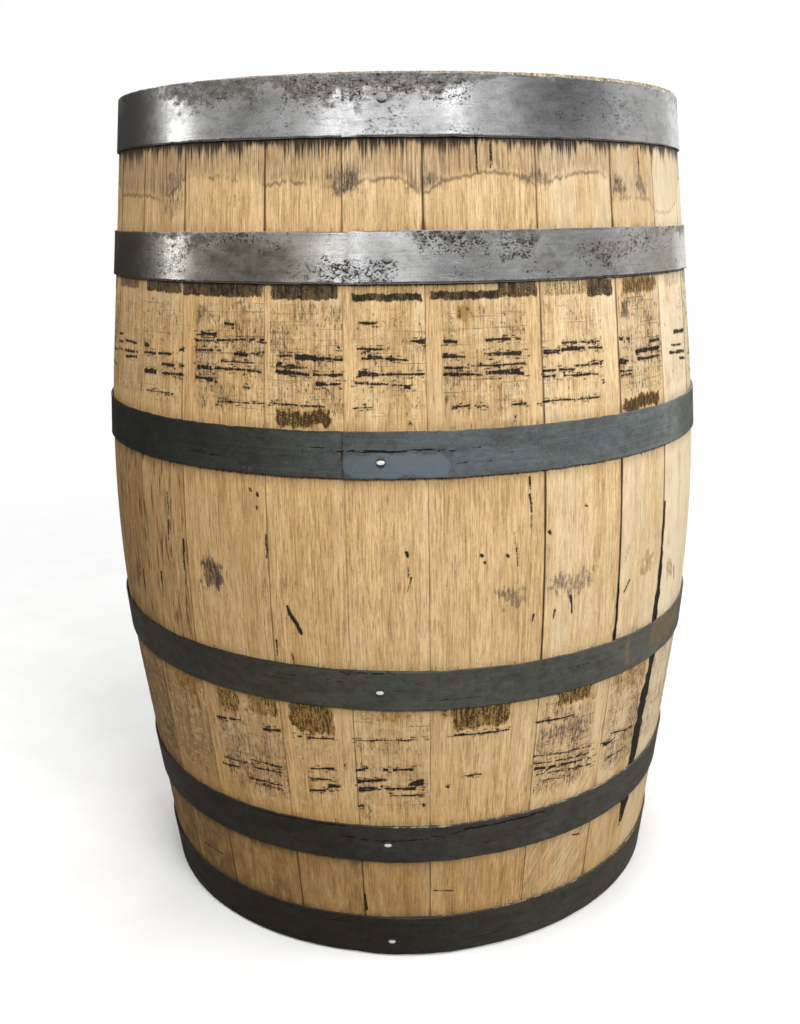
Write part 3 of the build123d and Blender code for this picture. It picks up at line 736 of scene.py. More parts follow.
# ------------------------------------------------------------------ materials
def oak_base(g, co, light, mid, dark):
    """Straight-grained oak: growth bands, grain lines and short open pores along y."""
    bands = g.noise(g.scaled(co, (0.085, 0.0021, 1.0), (0, 0, 1.7)), 3, 0.55, 0.4)
    fine = g.noise(g.scaled(co, (0.52, 0.017, 1.0), (0, 0, 4.1)), 5, 0.68)
    hair = g.noise(g.scaled(co, (0.92, 0.040, 1.0), (0, 0, 5.7)), 3, 0.62)
    pores = g.noise(g.scaled(co, (0.80, 0.060, 1.0), (0, 0, 9.2)), 3, 0.6)
    mottle = g.noise(g.scaled(co, (0.026, 0.013, 1.0), (0, 0, 13.0)), 4, 0.6)
    fleck = g.noise(g.scaled(co, (0.75, 0.26, 1.0), (0, 0, 16.0)), 4, 0.72)
    c = g.mix(g.ease(bands, 0.34, 0.66), light, mid)
    c = g.mix(g.mul(g.ease(fine, 0.46, 0.66), 0.55), c, dark)
    c = g.mix(g.mul(g.ease(fine, 0.46, 0.32), 0.55), c, tuple(min(1.0, 1.16 * v) for v in light))
    c = g.mix(g.mul(g.ease(hair, 0.52, 0.66), 0.60), c, dark)
    c = g.mix(g.mul(g.ease(hair, 0.46, 0.34), 0.62), c, tuple(min(1.0, 1.22 * v) for v in light))
    c = g.mix(g.mul(g.ease(pores, 0.56, 0.68), 0.50), c, tuple(0.60 * v for v in dark))
    c = g.mix(g.mul(g.ease(fleck, 0.53, 0.72), 0.48), c, tuple(0.85 * v for v in dark))
    c = g.mix(g.mul(g.ease(fleck, 0.45, 0.30), 0.40), c, tuple(min(1.0, 1.24 * v) for v in light))
    c = g.mix(g.mul(g.ease(mottle, 0.45, 0.75), 0.30), c, mid)
    return c, fine, pores, mottle


def oak_stave_material():
    g = Graph("oak_stave")
    co = g.vec("gco")
    c, fine, pores, mottle = oak_base(g, co, (0.780, 0.570, 0.312), (0.640, 0.440, 0.213), (0.305, 0.176, 0.073))
    # tone of each stave; on the front right it is partly painted sheen, on the far left partly painted shade
    tone_and_sheen = g.attr("tone_and_sheen")
    c = g.mix(g.mul(g.ease(tone_and_sheen, 0.0, 1.0), 0.72), c, (0.87, 0.755, 0.560))
    c = g.mix(g.mul(g.ease(tone_and_sheen, 0.0, -1.0), 0.62), c, (0.46, 0.275, 0.115))
    # darker and redder towards the foot, and painted shade on the shaded side
    c = g.mix(g.attr("warmth_and_shade"), c, g.scaled(c, (0.97, 0.82, 0.60)))
    blot = g.noise(g.scaled(co, (0.11, 0.05, 1.0), (0, 0, 21.0)), 4, 0.6)
    grit = g.noise(g.scaled(co, (0.40, 0.16, 1.0), (0, 0, 27.0)), 5, 0.68)
    drag = g.noise(g.scaled(co, (0.16, 0.80, 1.0), (0, 0, 33.0)), 4, 0.68)
    comb = g.noise(g.scaled(co, (0.50, 0.018, 1.0), (0, 0, 39.0)), 5, 0.66)
    tick = g.noise(g.scaled(co, (0.60, 0.085, 1.0), (0, 0, 45.0)), 4, 0.66)
    nick = g.noise(g.scaled(co, (0.95, 0.80, 1.0), (0, 0, 57.0)), 4, 0.72)
    scuff = g.noise(g.scaled(co, (0.10, 0.13, 1.0), (0, 0, 63.0)), 5, 0.68)
    level = g.noise(g.scaled(co, (0.016, 0.62, 1.0), (0, 0, 69.0)), 3, 0.6)
    hatch = g.noise(g.scaled(co, (0.85, 0.030, 1.0), (0, 0, 81.0)), 4, 0.62)
    long_tick = g.noise(g.scaled(co, (0.66, 0.030, 1.0), (0, 0, 75.0)), 4, 0.62)

    def wave(n, k):
        return g.mul(g.sub(n, 0.5), k)

    # uneven colour, and the slanting marks left by the saw on a few staves
    cast = g.noise(g.scaled(co, (0.055, 0.019, 1.0), (0, 0, 93.0)), 5, 0.66)
    c = g.mix(g.mul(g.ease(cast, 0.50, 0.68), 0.34), c, (0.40, 0.255, 0.112))
    c = g.mix(g.mul(g.ease(cast, 0.47, 0.33), 0.20), c, (0.86, 0.68, 0.42))
    slant = g.noise(g.turned(co, (0.30, -0.21), (0.015, 0.021), 87.0), 4, 0.6)
    saw = g.attr("sawn")
    c = g.mix(g.mul(g.mul(g.ease(slant, 0.50, 0.62), saw), 0.46), c, (0.30, 0.180, 0.075))
    c = g.mix(g.mul(g.mul(g.ease(slant, 0.48, 0.37), saw), 0.46), c, (0.86, 0.66, 0.38))

    # grime darkening, partly painted shade: heaviest on the left, towards the foot and just under the hoops
    dirt_and_shade = g.mul(g.attr("dirt_and_shade"), g.span(blot, 0.3, 0.7, 0.55, 1.15))
    c = g.mix(dirt_and_shade, c, (0.190, 0.110, 0.044))

    # chafed zones: browner, scuffed pale in places, with dark grain, spots and level scratches
    worn = g.attr("worn")
    here = g.ease(worn, 0.0, 0.5)
    c = g.mix(g.mul(worn, g.span(blot, 0.3, 0.7, 0.0, 0.34)), c, (0.40, 0.260, 0.125))
    c = g.mix(g.mul(g.mul(here, g.ease(scuff, 0.50, 0.66)), 0.46), c, (0.76, 0.62, 0.42))
    ticks = g.ease(g.add(long_tick, wave(worn, 0.20)), 0.57, 0.69)
    c = g.mix(g.mul(g.mul(ticks, here), 0.46), c, (0.125, 0.075, 0.040))
    spots = g.ease(g.add(g.add(grit, wave(nick, 0.28)), wave(worn, 0.16)), 0.61, 0.68)
    c = g.mix(g.mul(g.mul(spots, here), 0.78), c, (0.060, 0.038, 0.024))
    lines = g.ease(g.add(g.add(level, wave(nick, 0.22)), wave(worn, 0.14)), 0.64, 0.70)
    c = g.mix(g.mul(g.mul(lines, here), 0.55), c, (0.130, 0.080, 0.044))
    check = g.ease(g.add(g.noise(g.scaled(co, (0.30, 0.024, 1.0), (0, 0, 51.0)), 4, 0.62), wave(g.attr("check"), 0.20)), 0.635, 0.70)
    c = g.mix(g.mul(check, 0.75), c, (0.080, 0.044, 0.024))

    # stain under the top hoop, with its darker lower edge
    tide = g.add(g.attr("tide"), wave(blot, 6.0))
    soak = g.attr("soak")
    wet = g.mul(g.ease(tide, -2.5, 9.0), soak)
    c = g.mix(g.mul(wet, g.span(mottle, 0.3, 0.7, 0.22, 0.46)), c, (0.345, 0.245, 0.160))
    c = g.mix(g.mul(g.mul(wet, g.ease(hatch, 0.48, 0.62)), 0.60), c, (0.105, 0.068, 0.046))
    c = g.mix(g.mul(g.mul(wet, g.ease(tick, 0.52, 0.68)), 0.46), c, (0.10, 0.066, 0.046))
    rim = g.mul(g.ease(g.math("ABSOLUTE", g.add(tide, wave(tick, 5.0))), 2.7, 0.2), g.ease(g.add(mottle, wave(blot, 0.6)), 0.30, 0.54))
    c = g.mix(g.mul(g.mul(rim, g.span(soak, 0.0, 1.0, 0.35, 1.0)), 0.66), c, (0.110, 0.072, 0.052))

    smudge = g.attr("grey")
    grey = g.ease(g.add(g.add(g.add(smudge, wave(grit, 1.9)), wave(fine, 1.1)), wave(tick, 1.0)), 0.40, 1.10)
    c = g.mix(g.mul(grey, 0.78), c, (0.105, 0.080, 0.064))
    core = g.ease(g.add(g.add(g.add(smudge, wave(tick, 2.2)), wave(nick, 1.6)), wave(blot, 1.6)), 1.02, 1.34)
    c = g.mix(g.mul(core, 0.75), c, (0.026, 0.022, 0.021))

    # chafed spots by the hoops: golden brown, with black in the open grain
    rub = g.attr("rub")
    gold = g.ease(g.add(g.add(g.add(g.add(rub, wave(blot, 0.9)), wave(comb, 0.7)), wave(nick, 1.1)), wave(grit, 0.9)), 0.36, 0.92)
    c = g.mix(g.mul(gold, 0.76), c, (0.330, 0.176, 0.032))
    soot = g.ease(g.add(g.add(g.add(g.add(rub, wave(hatch, 0.9)), wave(tick, 1.5)), wave(nick, 2.0)), wave(grit, 1.2)), 0.80, 1.10)
    c = g.mix(g.mul(soot, 0.90), c, (0.022, 0.017, 0.011))

    joint = g.attr("seam")
    seam = g.ease(g.add(joint, wave(comb, 0.8)), 0.16, 0.70)
    c = g.mix(g.mul(seam, 0.80), c, (0.135, 0.068, 0.029))
    gap = g.ease(g.add(joint, wave(comb, 0.7)), 0.56, 0.98)
    c = g.mix(g.mul(gap, 0.93), c, (0.024, 0.015, 0.013))

    # black comb of stains under the hoops; the thin line under the lower hoops is partly painted shadow
    fringe_and_shadow = g.ease(g.add(g.add(g.attr("fringe_and_shadow"), wave(hatch, 2.6)), wave(comb, 1.0)), 0.20, 0.98)
    c = g.mix(g.mul(fringe_and_shadow, 0.93), c, (0.018, 0.016, 0.017))

    # soot rubbed off the hoops: a brown wash in the grain, black where it is thick
    wash = g.attr("wash")
    brown = g.ease(g.add(g.add(g.add(wash, wave(hatch, 1.1)), wave(tick, 1.0)), wave(nick, 1.3)), 0.32, 0.70)
    c = g.mix(g.mul(brown, 0.90), c, (0.070, 0.047, 0.022))
    thick = g.ease(g.add(g.add(g.add(g.add(wash, wave(grit, 1.6)), wave(comb, 1.0)), wave(nick, 1.5)), wave(blot, 1.2)), 0.67, 1.06)
    c = g.mix(g.mul(thick, 0.90), c, (0.015, 0.0138, 0.0130))

    cover = g.attr("black")
    halo = g.ease(g.add(g.add(cover, wave(drag, 1.6)), wave(tick, 1.2)), -0.45, 0.55)
    c = g.mix(g.mul(halo, 0.26), c, (0.15, 0.098, 0.060))
    black = g.ease(g.add(g.add(g.add(g.add(cover, wave(drag, 1.2)), wave(tick, 1.5)), wave(nick, 1.9)), wave(comb, 0.6)), 0.38, 0.60)
    c = g.mix(g.mul(black, 0.96), c, (0.0085, 0.0088, 0.0100))

    g.set("Base Color", c)
    g.set("Roughness", g.lerp(g.top(black, thick), g.span(pores, 0.3, 0.7, 0.62, 0.78), 0.70))
    g.bsdf.inputs["Specular IOR Level"].default_value = 0.15
    height = g.add(g.add(g.mul(fine, 0.55), g.mul(g.ease(pores, 0.52, 0.70), -0.6)), g.mul(g.top(check, g.mul(ticks, 0.4)), -0.7))
    g.bump(height, 0.5, 0.0008)
    return g.mat


def oak_end_material():
    g = Graph("oak_chime")
    co = g.vec("gco")
    rings = g.noise(g.scaled(co, (0.75, 0.16, 1.0), (0, 0, 3.0)), 3, 0.6)
    grit = g.noise(g.scaled(co, (0.30, 0.30, 1.0), (0, 0, 8.0)), 5, 0.65)
    blot = g.noise(g.scaled(co, (0.035, 0.06, 1.0), (0, 0, 15.0)), 3, 0.55)
    c = g.mix(g.ease(rings, 0.36, 0.66), (0.44, 0.345, 0.225), (0.235, 0.165, 0.095))
    c = g.mix(g.mul(g.ease(grit, 0.45, 0.7), 0.6), c, (0.12, 0.07, 0.034))
    c = g.mix(g.mul(g.ease(blot, 0.42, 0.66), 0.6), c, (0.085, 0.062, 0.046))
    c = g.mix(g.mul(g.ease(grit, 0.60, 0.68), 0.7), c, (0.024, 0.018, 0.014))
    g.set("Base Color", c)
    g.set("Roughness", g.span(grit, 0.3, 0.7, 0.66, 0.84))
    g.bsdf.inputs["Specular IOR Level"].default_value = 0.25
    g.bump(g.add(g.mul(rings, 0.6), grit), 0.5, 0.0009)
    return g.mat


def char_material():
    g = Graph("charred_oak")
    co = g.vec("gco")
    crack = g.cells(g.scaled(co, (0.11, 0.055, 1.0)), "DISTANCE_TO_EDGE")
    grit = g.noise(g.scaled(co, (0.5, 0.25, 1.0)), 5, 0.65)
    c = g.mix(g.ease(grit, 0.4, 0.7), (0.012, 0.010, 0.009), (0.034, 0.027, 0.022))
    c = g.mix(g.ease(crack, 0.07, 0.0), c, (0.006, 0.005, 0.005))
    g.set("Base Color", c)
    g.set("Roughness", g.span(grit, 0.3, 0.7, 0.75, 0.92))
    g.bsdf.inputs["Specular IOR Level"].default_value = 0.3
    g.bump(g.add(g.ease(crack, 0.0, 0.12), g.mul(grit, 0.5)), 0.9, 0.0015)
    return g.mat


def oak_head_material():
    g = Graph("oak_head")
    co = g.vec("gco")
    c, fine, pores, mottle = oak_base(g, co, (0.56, 0.375, 0.185), (0.43, 0.265, 0.115), (0.20, 0.108, 0.045))
    blot = g.noise(g.scaled(co, (0.02, 0.012, 1.0), (0, 0, 22.0)), 4, 0.6)
    grit = g.noise(g.scaled(co, (0.30, 0.12, 1.0), (0, 0, 28.0)), 5, 0.65)
    edge = g.attr("edge")
    c = g.mix(g.mul(g.ease(blot, 0.46, 0.68), 0.6), c, (0.19, 0.135, 0.088))
    c = g.mix(g.mul(g.ease(g.add(edge, g.mul(g.sub(blot, 0.5), 60.0)), 46.0, 0.0), 0.75), c, (0.085, 0.055, 0.034))
    c = g.mix(g.mul(g.ease(g.add(g.attr("seam"), g.mul(g.sub(fine, 0.5), 0.8)), 0.25, 0.8), 0.9), c, (0.026, 0.017, 0.012))
    c = g.mix(g.mul(g.ease(grit, 0.62, 0.70), 0.6), c, (0.05, 0.034, 0.022))
    g.set("Base Color", c)
    g.set("Roughness", g.span(pores, 0.3, 0.7, 0.60, 0.78))
    g.bsdf.inputs["Specular IOR Level"].default_value = 0.28
    g.bump(g.add(g.mul(fine, 0.55), g.mul(g.ease(pores, 0.52, 0.70), -0.6)), 0.45, 0.0008)
    return g.mat


def bright_steel_material():
    g = Graph("bright_steel")
    co = g.vec("gco")
    brush = g.noise(g.scaled(co, (0.010, 1.5, 1.0), (0, 0, 2.0)), 4, 0.68)
    cloud = g.noise(g.scaled(co, (0.030, 0.055, 1.0), (0, 0, 6.0)), 4, 0.6)
    speck = g.noise(g.scaled(co, (0.36, 0.46, 1.0), (0, 0, 11.0)), 5, 0.74)
    blot = g.noise(g.scaled(co, (0.10, 0.16, 1.0), (0, 0, 17.0)), 5, 0.72)
    dust = g.noise(g.scaled(co, (0.60, 0.72, 1.0), (0, 0, 23.0)), 4, 0.7)
    scratch = g.noise(g.scaled(co, (0.030, 0.8, 1.0), (0, 0, 29.0)), 2, 0.5, 0.6)

    def wave(n, k):
        return g.mul(g.sub(n, 0.5), k)

    c = g.mix(g.ease(cloud, 0.36, 0.68), (0.70, 0.70, 0.705), (0.56, 0.557, 0.555))
    c = g.mix(g.mul(g.ease(brush, 0.50, 0.68), 0.36), c, (0.30, 0.298, 0.295))
    c = g.mix(g.mul(g.ease(dust, 0.54, 0.68), 0.30), c, (0.17, 0.167, 0.16))
    c = g.mix(g.mul(g.ease(blot, 0.54, 0.68), 0.40), c, (0.22, 0.215, 0.208))
    # dull film, which on the left of the bright hoops is painted shade
    film_and_shade = g.ease(g.add(g.add(g.add(g.attr("film_and_shade"), wave(cloud, 0.9)), wave(blot, 0.9)), wave(dust, 0.5)), 0.10, 1.10)
    c = g.mix(g.mul(film_and_shade, 0.78), c, (0.156, 0.136, 0.110))
    rust = g.ease(g.add(g.add(g.add(g.attr("rust"), wave(blot, 1.8)), wave(speck, 1.3)), wave(dust, 1.1)), 0.22, 1.12)
    scale = g.mix(g.ease(blot, 0.40, 0.60), (0.215, 0.198, 0.182), (0.125, 0.112, 0.100))
    scale = g.mix(g.mul(g.ease(dust, 0.50, 0.64), 0.70), scale, (0.046, 0.040, 0.036))
    scale = g.mix(g.mul(g.ease(dust, 0.42, 0.28), 0.60), scale, (0.42, 0.41, 0.40))
    c = g.mix(g.mul(rust, 0.90), c, scale)
    pit = g.ease(g.add(g.add(g.add(speck, wave(dust, 0.34)), wave(blot, 0.36)), wave(g.attr("pit"), 0.27)), 0.604, 0.650)
    c = g.mix(g.mul(pit, 0.95), c, (0.014, 0.012, 0.011))
    c = g.mix(g.mul(g.attr("warmth_and_shade"), g.span(blot, 0.3, 0.7, 0.5, 1.0)), c, g.scaled(c, (1.06, 0.98, 0.82)))
    # painted highlight: a pale line along both edges of the strip
    edge = g.ease(g.add(g.attr("rimdist"), wave(blot, 1.6)), 1.0, 0.2)
    c = g.mix(g.mul(edge, 0.40), c, (0.72, 0.72, 0.72))
    g.set("Base Color", c)
    g.set("Metallic", g.span(g.top(pit, g.mul(rust, 0.55)), 0.0, 1.0, 1.0, 0.10))
    rough = g.add(g.add(g.span(blot, 0.3, 0.7, 0.235, 0.315), g.mul(rust, 0.20)), g.mul(film_and_shade, 0.06))
    g.set("Roughness", g.lerp(pit, rough, 0.80))
    dent = g.add(g.mul(pit, -1.0), g.mul(rust, g.mul(blot, -0.3)))
    g.bump(g.add(dent, g.add(g.mul(brush, 0.04), g.mul(g.ease(scratch, 0.62, 0.68), -0.10))), 0.45, 0.0005)
    return g.mat


def dark_steel_material():
    g = Graph("dark_steel")
    co = g.vec("gco")
    brush = g.noise(g.scaled(co, (0.012, 0.9, 1.0), (0, 0, 2.0)), 4, 0.65)
    cloud = g.noise(g.scaled(co, (0.022, 0.055, 1.0), (0, 0, 6.0)), 5, 0.62)
    grit = g.noise(g.scaled(co, (0.30, 0.38, 1.0), (0, 0, 11.0)), 6, 0.70)
    flake = g.noise(g.scaled(co, (0.10, 0.45, 1.0), (0, 0, 19.0)), 5, 0.66)
    blot = g.noise(g.scaled(co, (0.085, 0.11, 1.0), (0, 0, 25.0)), 5, 0.70)
    dust = g.noise(g.scaled(co, (0.60, 0.70, 1.0), (0, 0, 31.0)), 4, 0.7)

    def wave(n, k):
        return g.mul(g.sub(n, 0.5), k)

    hue = g.vec("hue")
    c = g.mix(g.mul(g.ease(cloud, 0.44, 0.70), 0.55), hue, g.scaled(hue, (0.52, 0.50, 0.48)))
    c = g.mix(g.mul(g.ease(cloud, 0.44, 0.24), 0.6), c, g.scaled(hue, (1.45, 1.45, 1.42)))
    c = g.mix(g.mul(g.ease(blot, 0.48, 0.64), 0.66), c, g.scaled(hue, (0.54, 0.51, 0.46)))
    c = g.mix(g.mul(g.ease(blot, 0.44, 0.30), 0.62), c, g.scaled(hue, (1.50, 1.50, 1.50)))
    c = g.mix(g.mul(g.ease(brush, 0.48, 0.70), 0.40), c, g.scaled(hue, (1.7, 1.7, 1.7)))
    c = g.mix(g.mul(g.ease(dust, 0.50, 0.66), 0.60), c, g.scaled(hue, (0.48, 0.46, 0.43)))
    c = g.mix(g.mul(g.ease(dust, 0.43, 0.28), 0.55), c, g.scaled(hue, (1.75, 1.75, 1.75)))
    patch = g.ease(g.add(g.add(g.attr("patch"), wave(flake, 0.9)), wave(blot, 0.8)), 0.36, 0.90)
    c = g.mix(g.mul(patch, 0.70), c, g.scaled(hue, (1.45, 1.62, 1.86)))
    stain = g.ease(g.add(g.add(g.add(g.attr("stain"), wave(grit, 2.0)), wave(blot, 1.2)), wave(flake, 0.8)), 0.55, 1.05)
    c = g.mix(g.mul(stain, 0.75), c, (0.25, 0.170, 0.055))
    rust = g.ease(g.add(grit, g.mul(g.ease(g.attr("rimdist"), 4.0, 0.0), 0.08)), 0.63, 0.70)
    c = g.mix(g.mul(rust, 0.62), c, (0.070, 0.046, 0.030))
    # dark creases, and the painted shadow along the lap's free end
    mark_and_shade = g.ease(g.add(g.add(g.attr("mark_and_shade"), wave(flake, 1.3)), wave(grit, 0.9)), 0.44, 0.66)
    c = g.mix(g.mul(mark_and_shade, 0.92), c, (0.006, 0.006, 0.006))
    # bare chips, and on the front right a painted highlight along the top edge
    chip_and_highlight = g.ease(g.add(g.add(g.attr("chip_and_highlight"), wave(flake, 1.7)), wave(grit, 1.1)), 0.50, 0.72)
    c = g.mix(g.mul(chip_and_highlight, 0.8), c, (0.40, 0.36, 0.28))
    # painted highlight: a faint pale line along both edges of the strip
    edge = g.ease(g.add(g.attr("rimdist"), wave(blot, 2.4)), 0.8, 0.1)
    c = g.mix(g.mul(edge, 0.12), c, (0.24, 0.23, 0.20))
    g.set("Base Color", c)
    g.set("Metallic", 0.2)
    g.set("Roughness", g.add(g.span(cloud, 0.3, 0.7, 0.40, 0.54), g.mul(g.top(rust, mark_and_shade), 0.3)))
    g.bsdf.inputs["Specular IOR Level"].default_value = 0.35
    g.bump(g.add(g.mul(mark_and_shade, -1.0), g.add(g.mul(rust, 0.35), g.mul(brush, 0.12))), 0.5, 0.0006)
    return g.mat


def rivet_material():
    g = Graph("rivet_steel")
    co = g.vec("gco")
    grit = g.noise(g.scaled(co, (0.7, 0.7, 0.7)), 5, 0.65)
    worn = g.ease(g.add(g.attr("worn"), g.mul(g.sub(grit, 0.5), 0.5)), 0.35, 0.65)
    bare_and_shadow = g.ease(g.add(g.attr("bare_and_shadow"), g.mul(g.sub(grit, 0.5), 0.4)), 0.35, 0.65)
    c = g.mix(g.ease(grit, 0.4, 0.66), (0.075, 0.073, 0.070), (0.030, 0.028, 0.026))
    # bare grey steel on the bright hoops' rivets, leaving a dark crescent at the lower rim as painted shadow
    c = g.mix(bare_and_shadow, c, (0.43, 0.425, 0.42))
    # pale worn oval on the dark rivets, partly a painted glint
    c = g.mix(worn, c, (0.90, 0.90, 0.88))
    g.set("Base Color", c)
    g.set("Metallic", g.span(bare_and_shadow, 0.0, 1.0, 0.25, 0.5))
    g.set("Roughness", g.span(grit, 0.3, 0.7, 0.40, 0.54))
    g.bump(grit, 0.3, 0.0004)
    return g.mat


def bung_material():
    g = Graph("bung_poplar")
    co = g.vec("gco")
    fine = g.noise(g.scaled(co, (0.65, 0.06, 0.65), (0, 0, 2.0)), 4, 0.6)
    band = g.noise(g.scaled(co, (0.16, 0.015, 0.05), (0, 0, 5.0)), 2, 0.5, 0.4)
    grit = g.noise(g.scaled(co, (0.35, 0.35, 0.35)), 5, 0.65)
    c = g.mix(g.ease(band, 0.36, 0.64), (0.60, 0.44, 0.245), (0.43, 0.285, 0.135))
    c = g.mix(g.mul(g.ease(fine, 0.48, 0.7), 0.45), c, (0.24, 0.14, 0.06))
    c = g.mix(g.mul(g.ease(g.add(g.attr("edge"), g.mul(g.sub(grit, 0.5), 7.0)), 4.5, 0.0), 0.75), c, (0.060, 0.036, 0.022))
    c = g.mix(g.mul(g.ease(grit, 0.60, 0.70), 0.5), c, (0.07, 0.045, 0.028))
    g.set("Base Color", c)
    g.set("Roughness", g.span(grit, 0.3, 0.7, 0.58, 0.76))
    g.bsdf.inputs["Specular IOR Level"].default_value = 0.3
    g.bump(g.add(fine, g.mul(grit, 0.4)), 0.4, 0.0006)
    return g.mat


def dowel_material():
    g = Graph("dowel_beech")
    place_n = g.node("ShaderNodeTexCoord").outputs["Object"]
    fine = g.noise(g.scaled(place_n, (900.0, 900.0, 900.0)), 4, 0.6)
    band = g.noise(g.scaled(place_n, (160.0, 160.0, 160.0)), 3, 0.6)
    c = g.mix(g.ease(band, 0.4, 0.65), (0.52, 0.36, 0.19), (0.40, 0.25, 0.12))
    c = g.mix(g.mul(g.ease(fine, 0.5, 0.7), 0.4), c, (0.22, 0.13, 0.06))
    g.set("Base Color", c)
    g.set("Roughness", g.span(fine, 0.3, 0.7, 0.55, 0.72))
    g.bump(fine, 0.3, 0.0004)
    return g.mat


OAK = oak_stave_material()
OAK_END = oak_end_material()
CHAR = char_material()
OAK_HEAD = oak_head_material()
BRIGHT = bright_steel_material()
DARK = dark_steel_material()
RIVET = rivet_material()
BUNG = bung_material()
DOWEL = dowel_material()

# ------------------------------------------------------------------ staves
rows = [0.9]
while rows[-1] < H - 0.9:
    z = rows[-1]
    if any(z0 + 8 < z < z1 - 8 for _, z0, z1, _, _, _ in HOOPS):
        step = 5.0
    elif 575 < z < 703 or 168 < z < 304:
        step = 0.8
    else:
        step = 1.25
    rows.append(min(z + step, H - 0.9))
rows = np.array(rows)


def half_section():
    """The stave's end from the outer edge to the inside below the head: radius, distance from the end."""
    def low(side):
        r = R_IN0 + SLOPE * (HEAD_Z + side * (CROZE_W + HEAD_TAPER * CROZE_R))
        r /= 1.0 + side * SLOPE * HEAD_TAPER
        return r, (r - R_IN0) / SLOPE
    bevel = (R_IN0 + SLOPE * CHIME_BEVEL, CHIME_BEVEL)
    flat = R_END - CHIME_FLAT
    pts = [(R_END - 0.9, 0.0), (R_END - 4.0, 0.0), (R_END - 7.5, 0.0), (R_END - 11.0, 0.0), (flat + 0.9, 0.0),
           (flat - 0.15, 0.55)]
    pts += [(flat + (bevel[0] - flat) * t, bevel[1] * t) for t in (0.3, 0.6, 0.95)]
    pts += [(bevel[0] + 0.1, bevel[1] + 1.2), low(-1.0), (CROZE_R, HEAD_Z - CROZE_W), (CROZE_R, HEAD_Z + CROZE_W), low(1.0)]
    return pts


END = half_section()
Z_IN = END[-1][1]


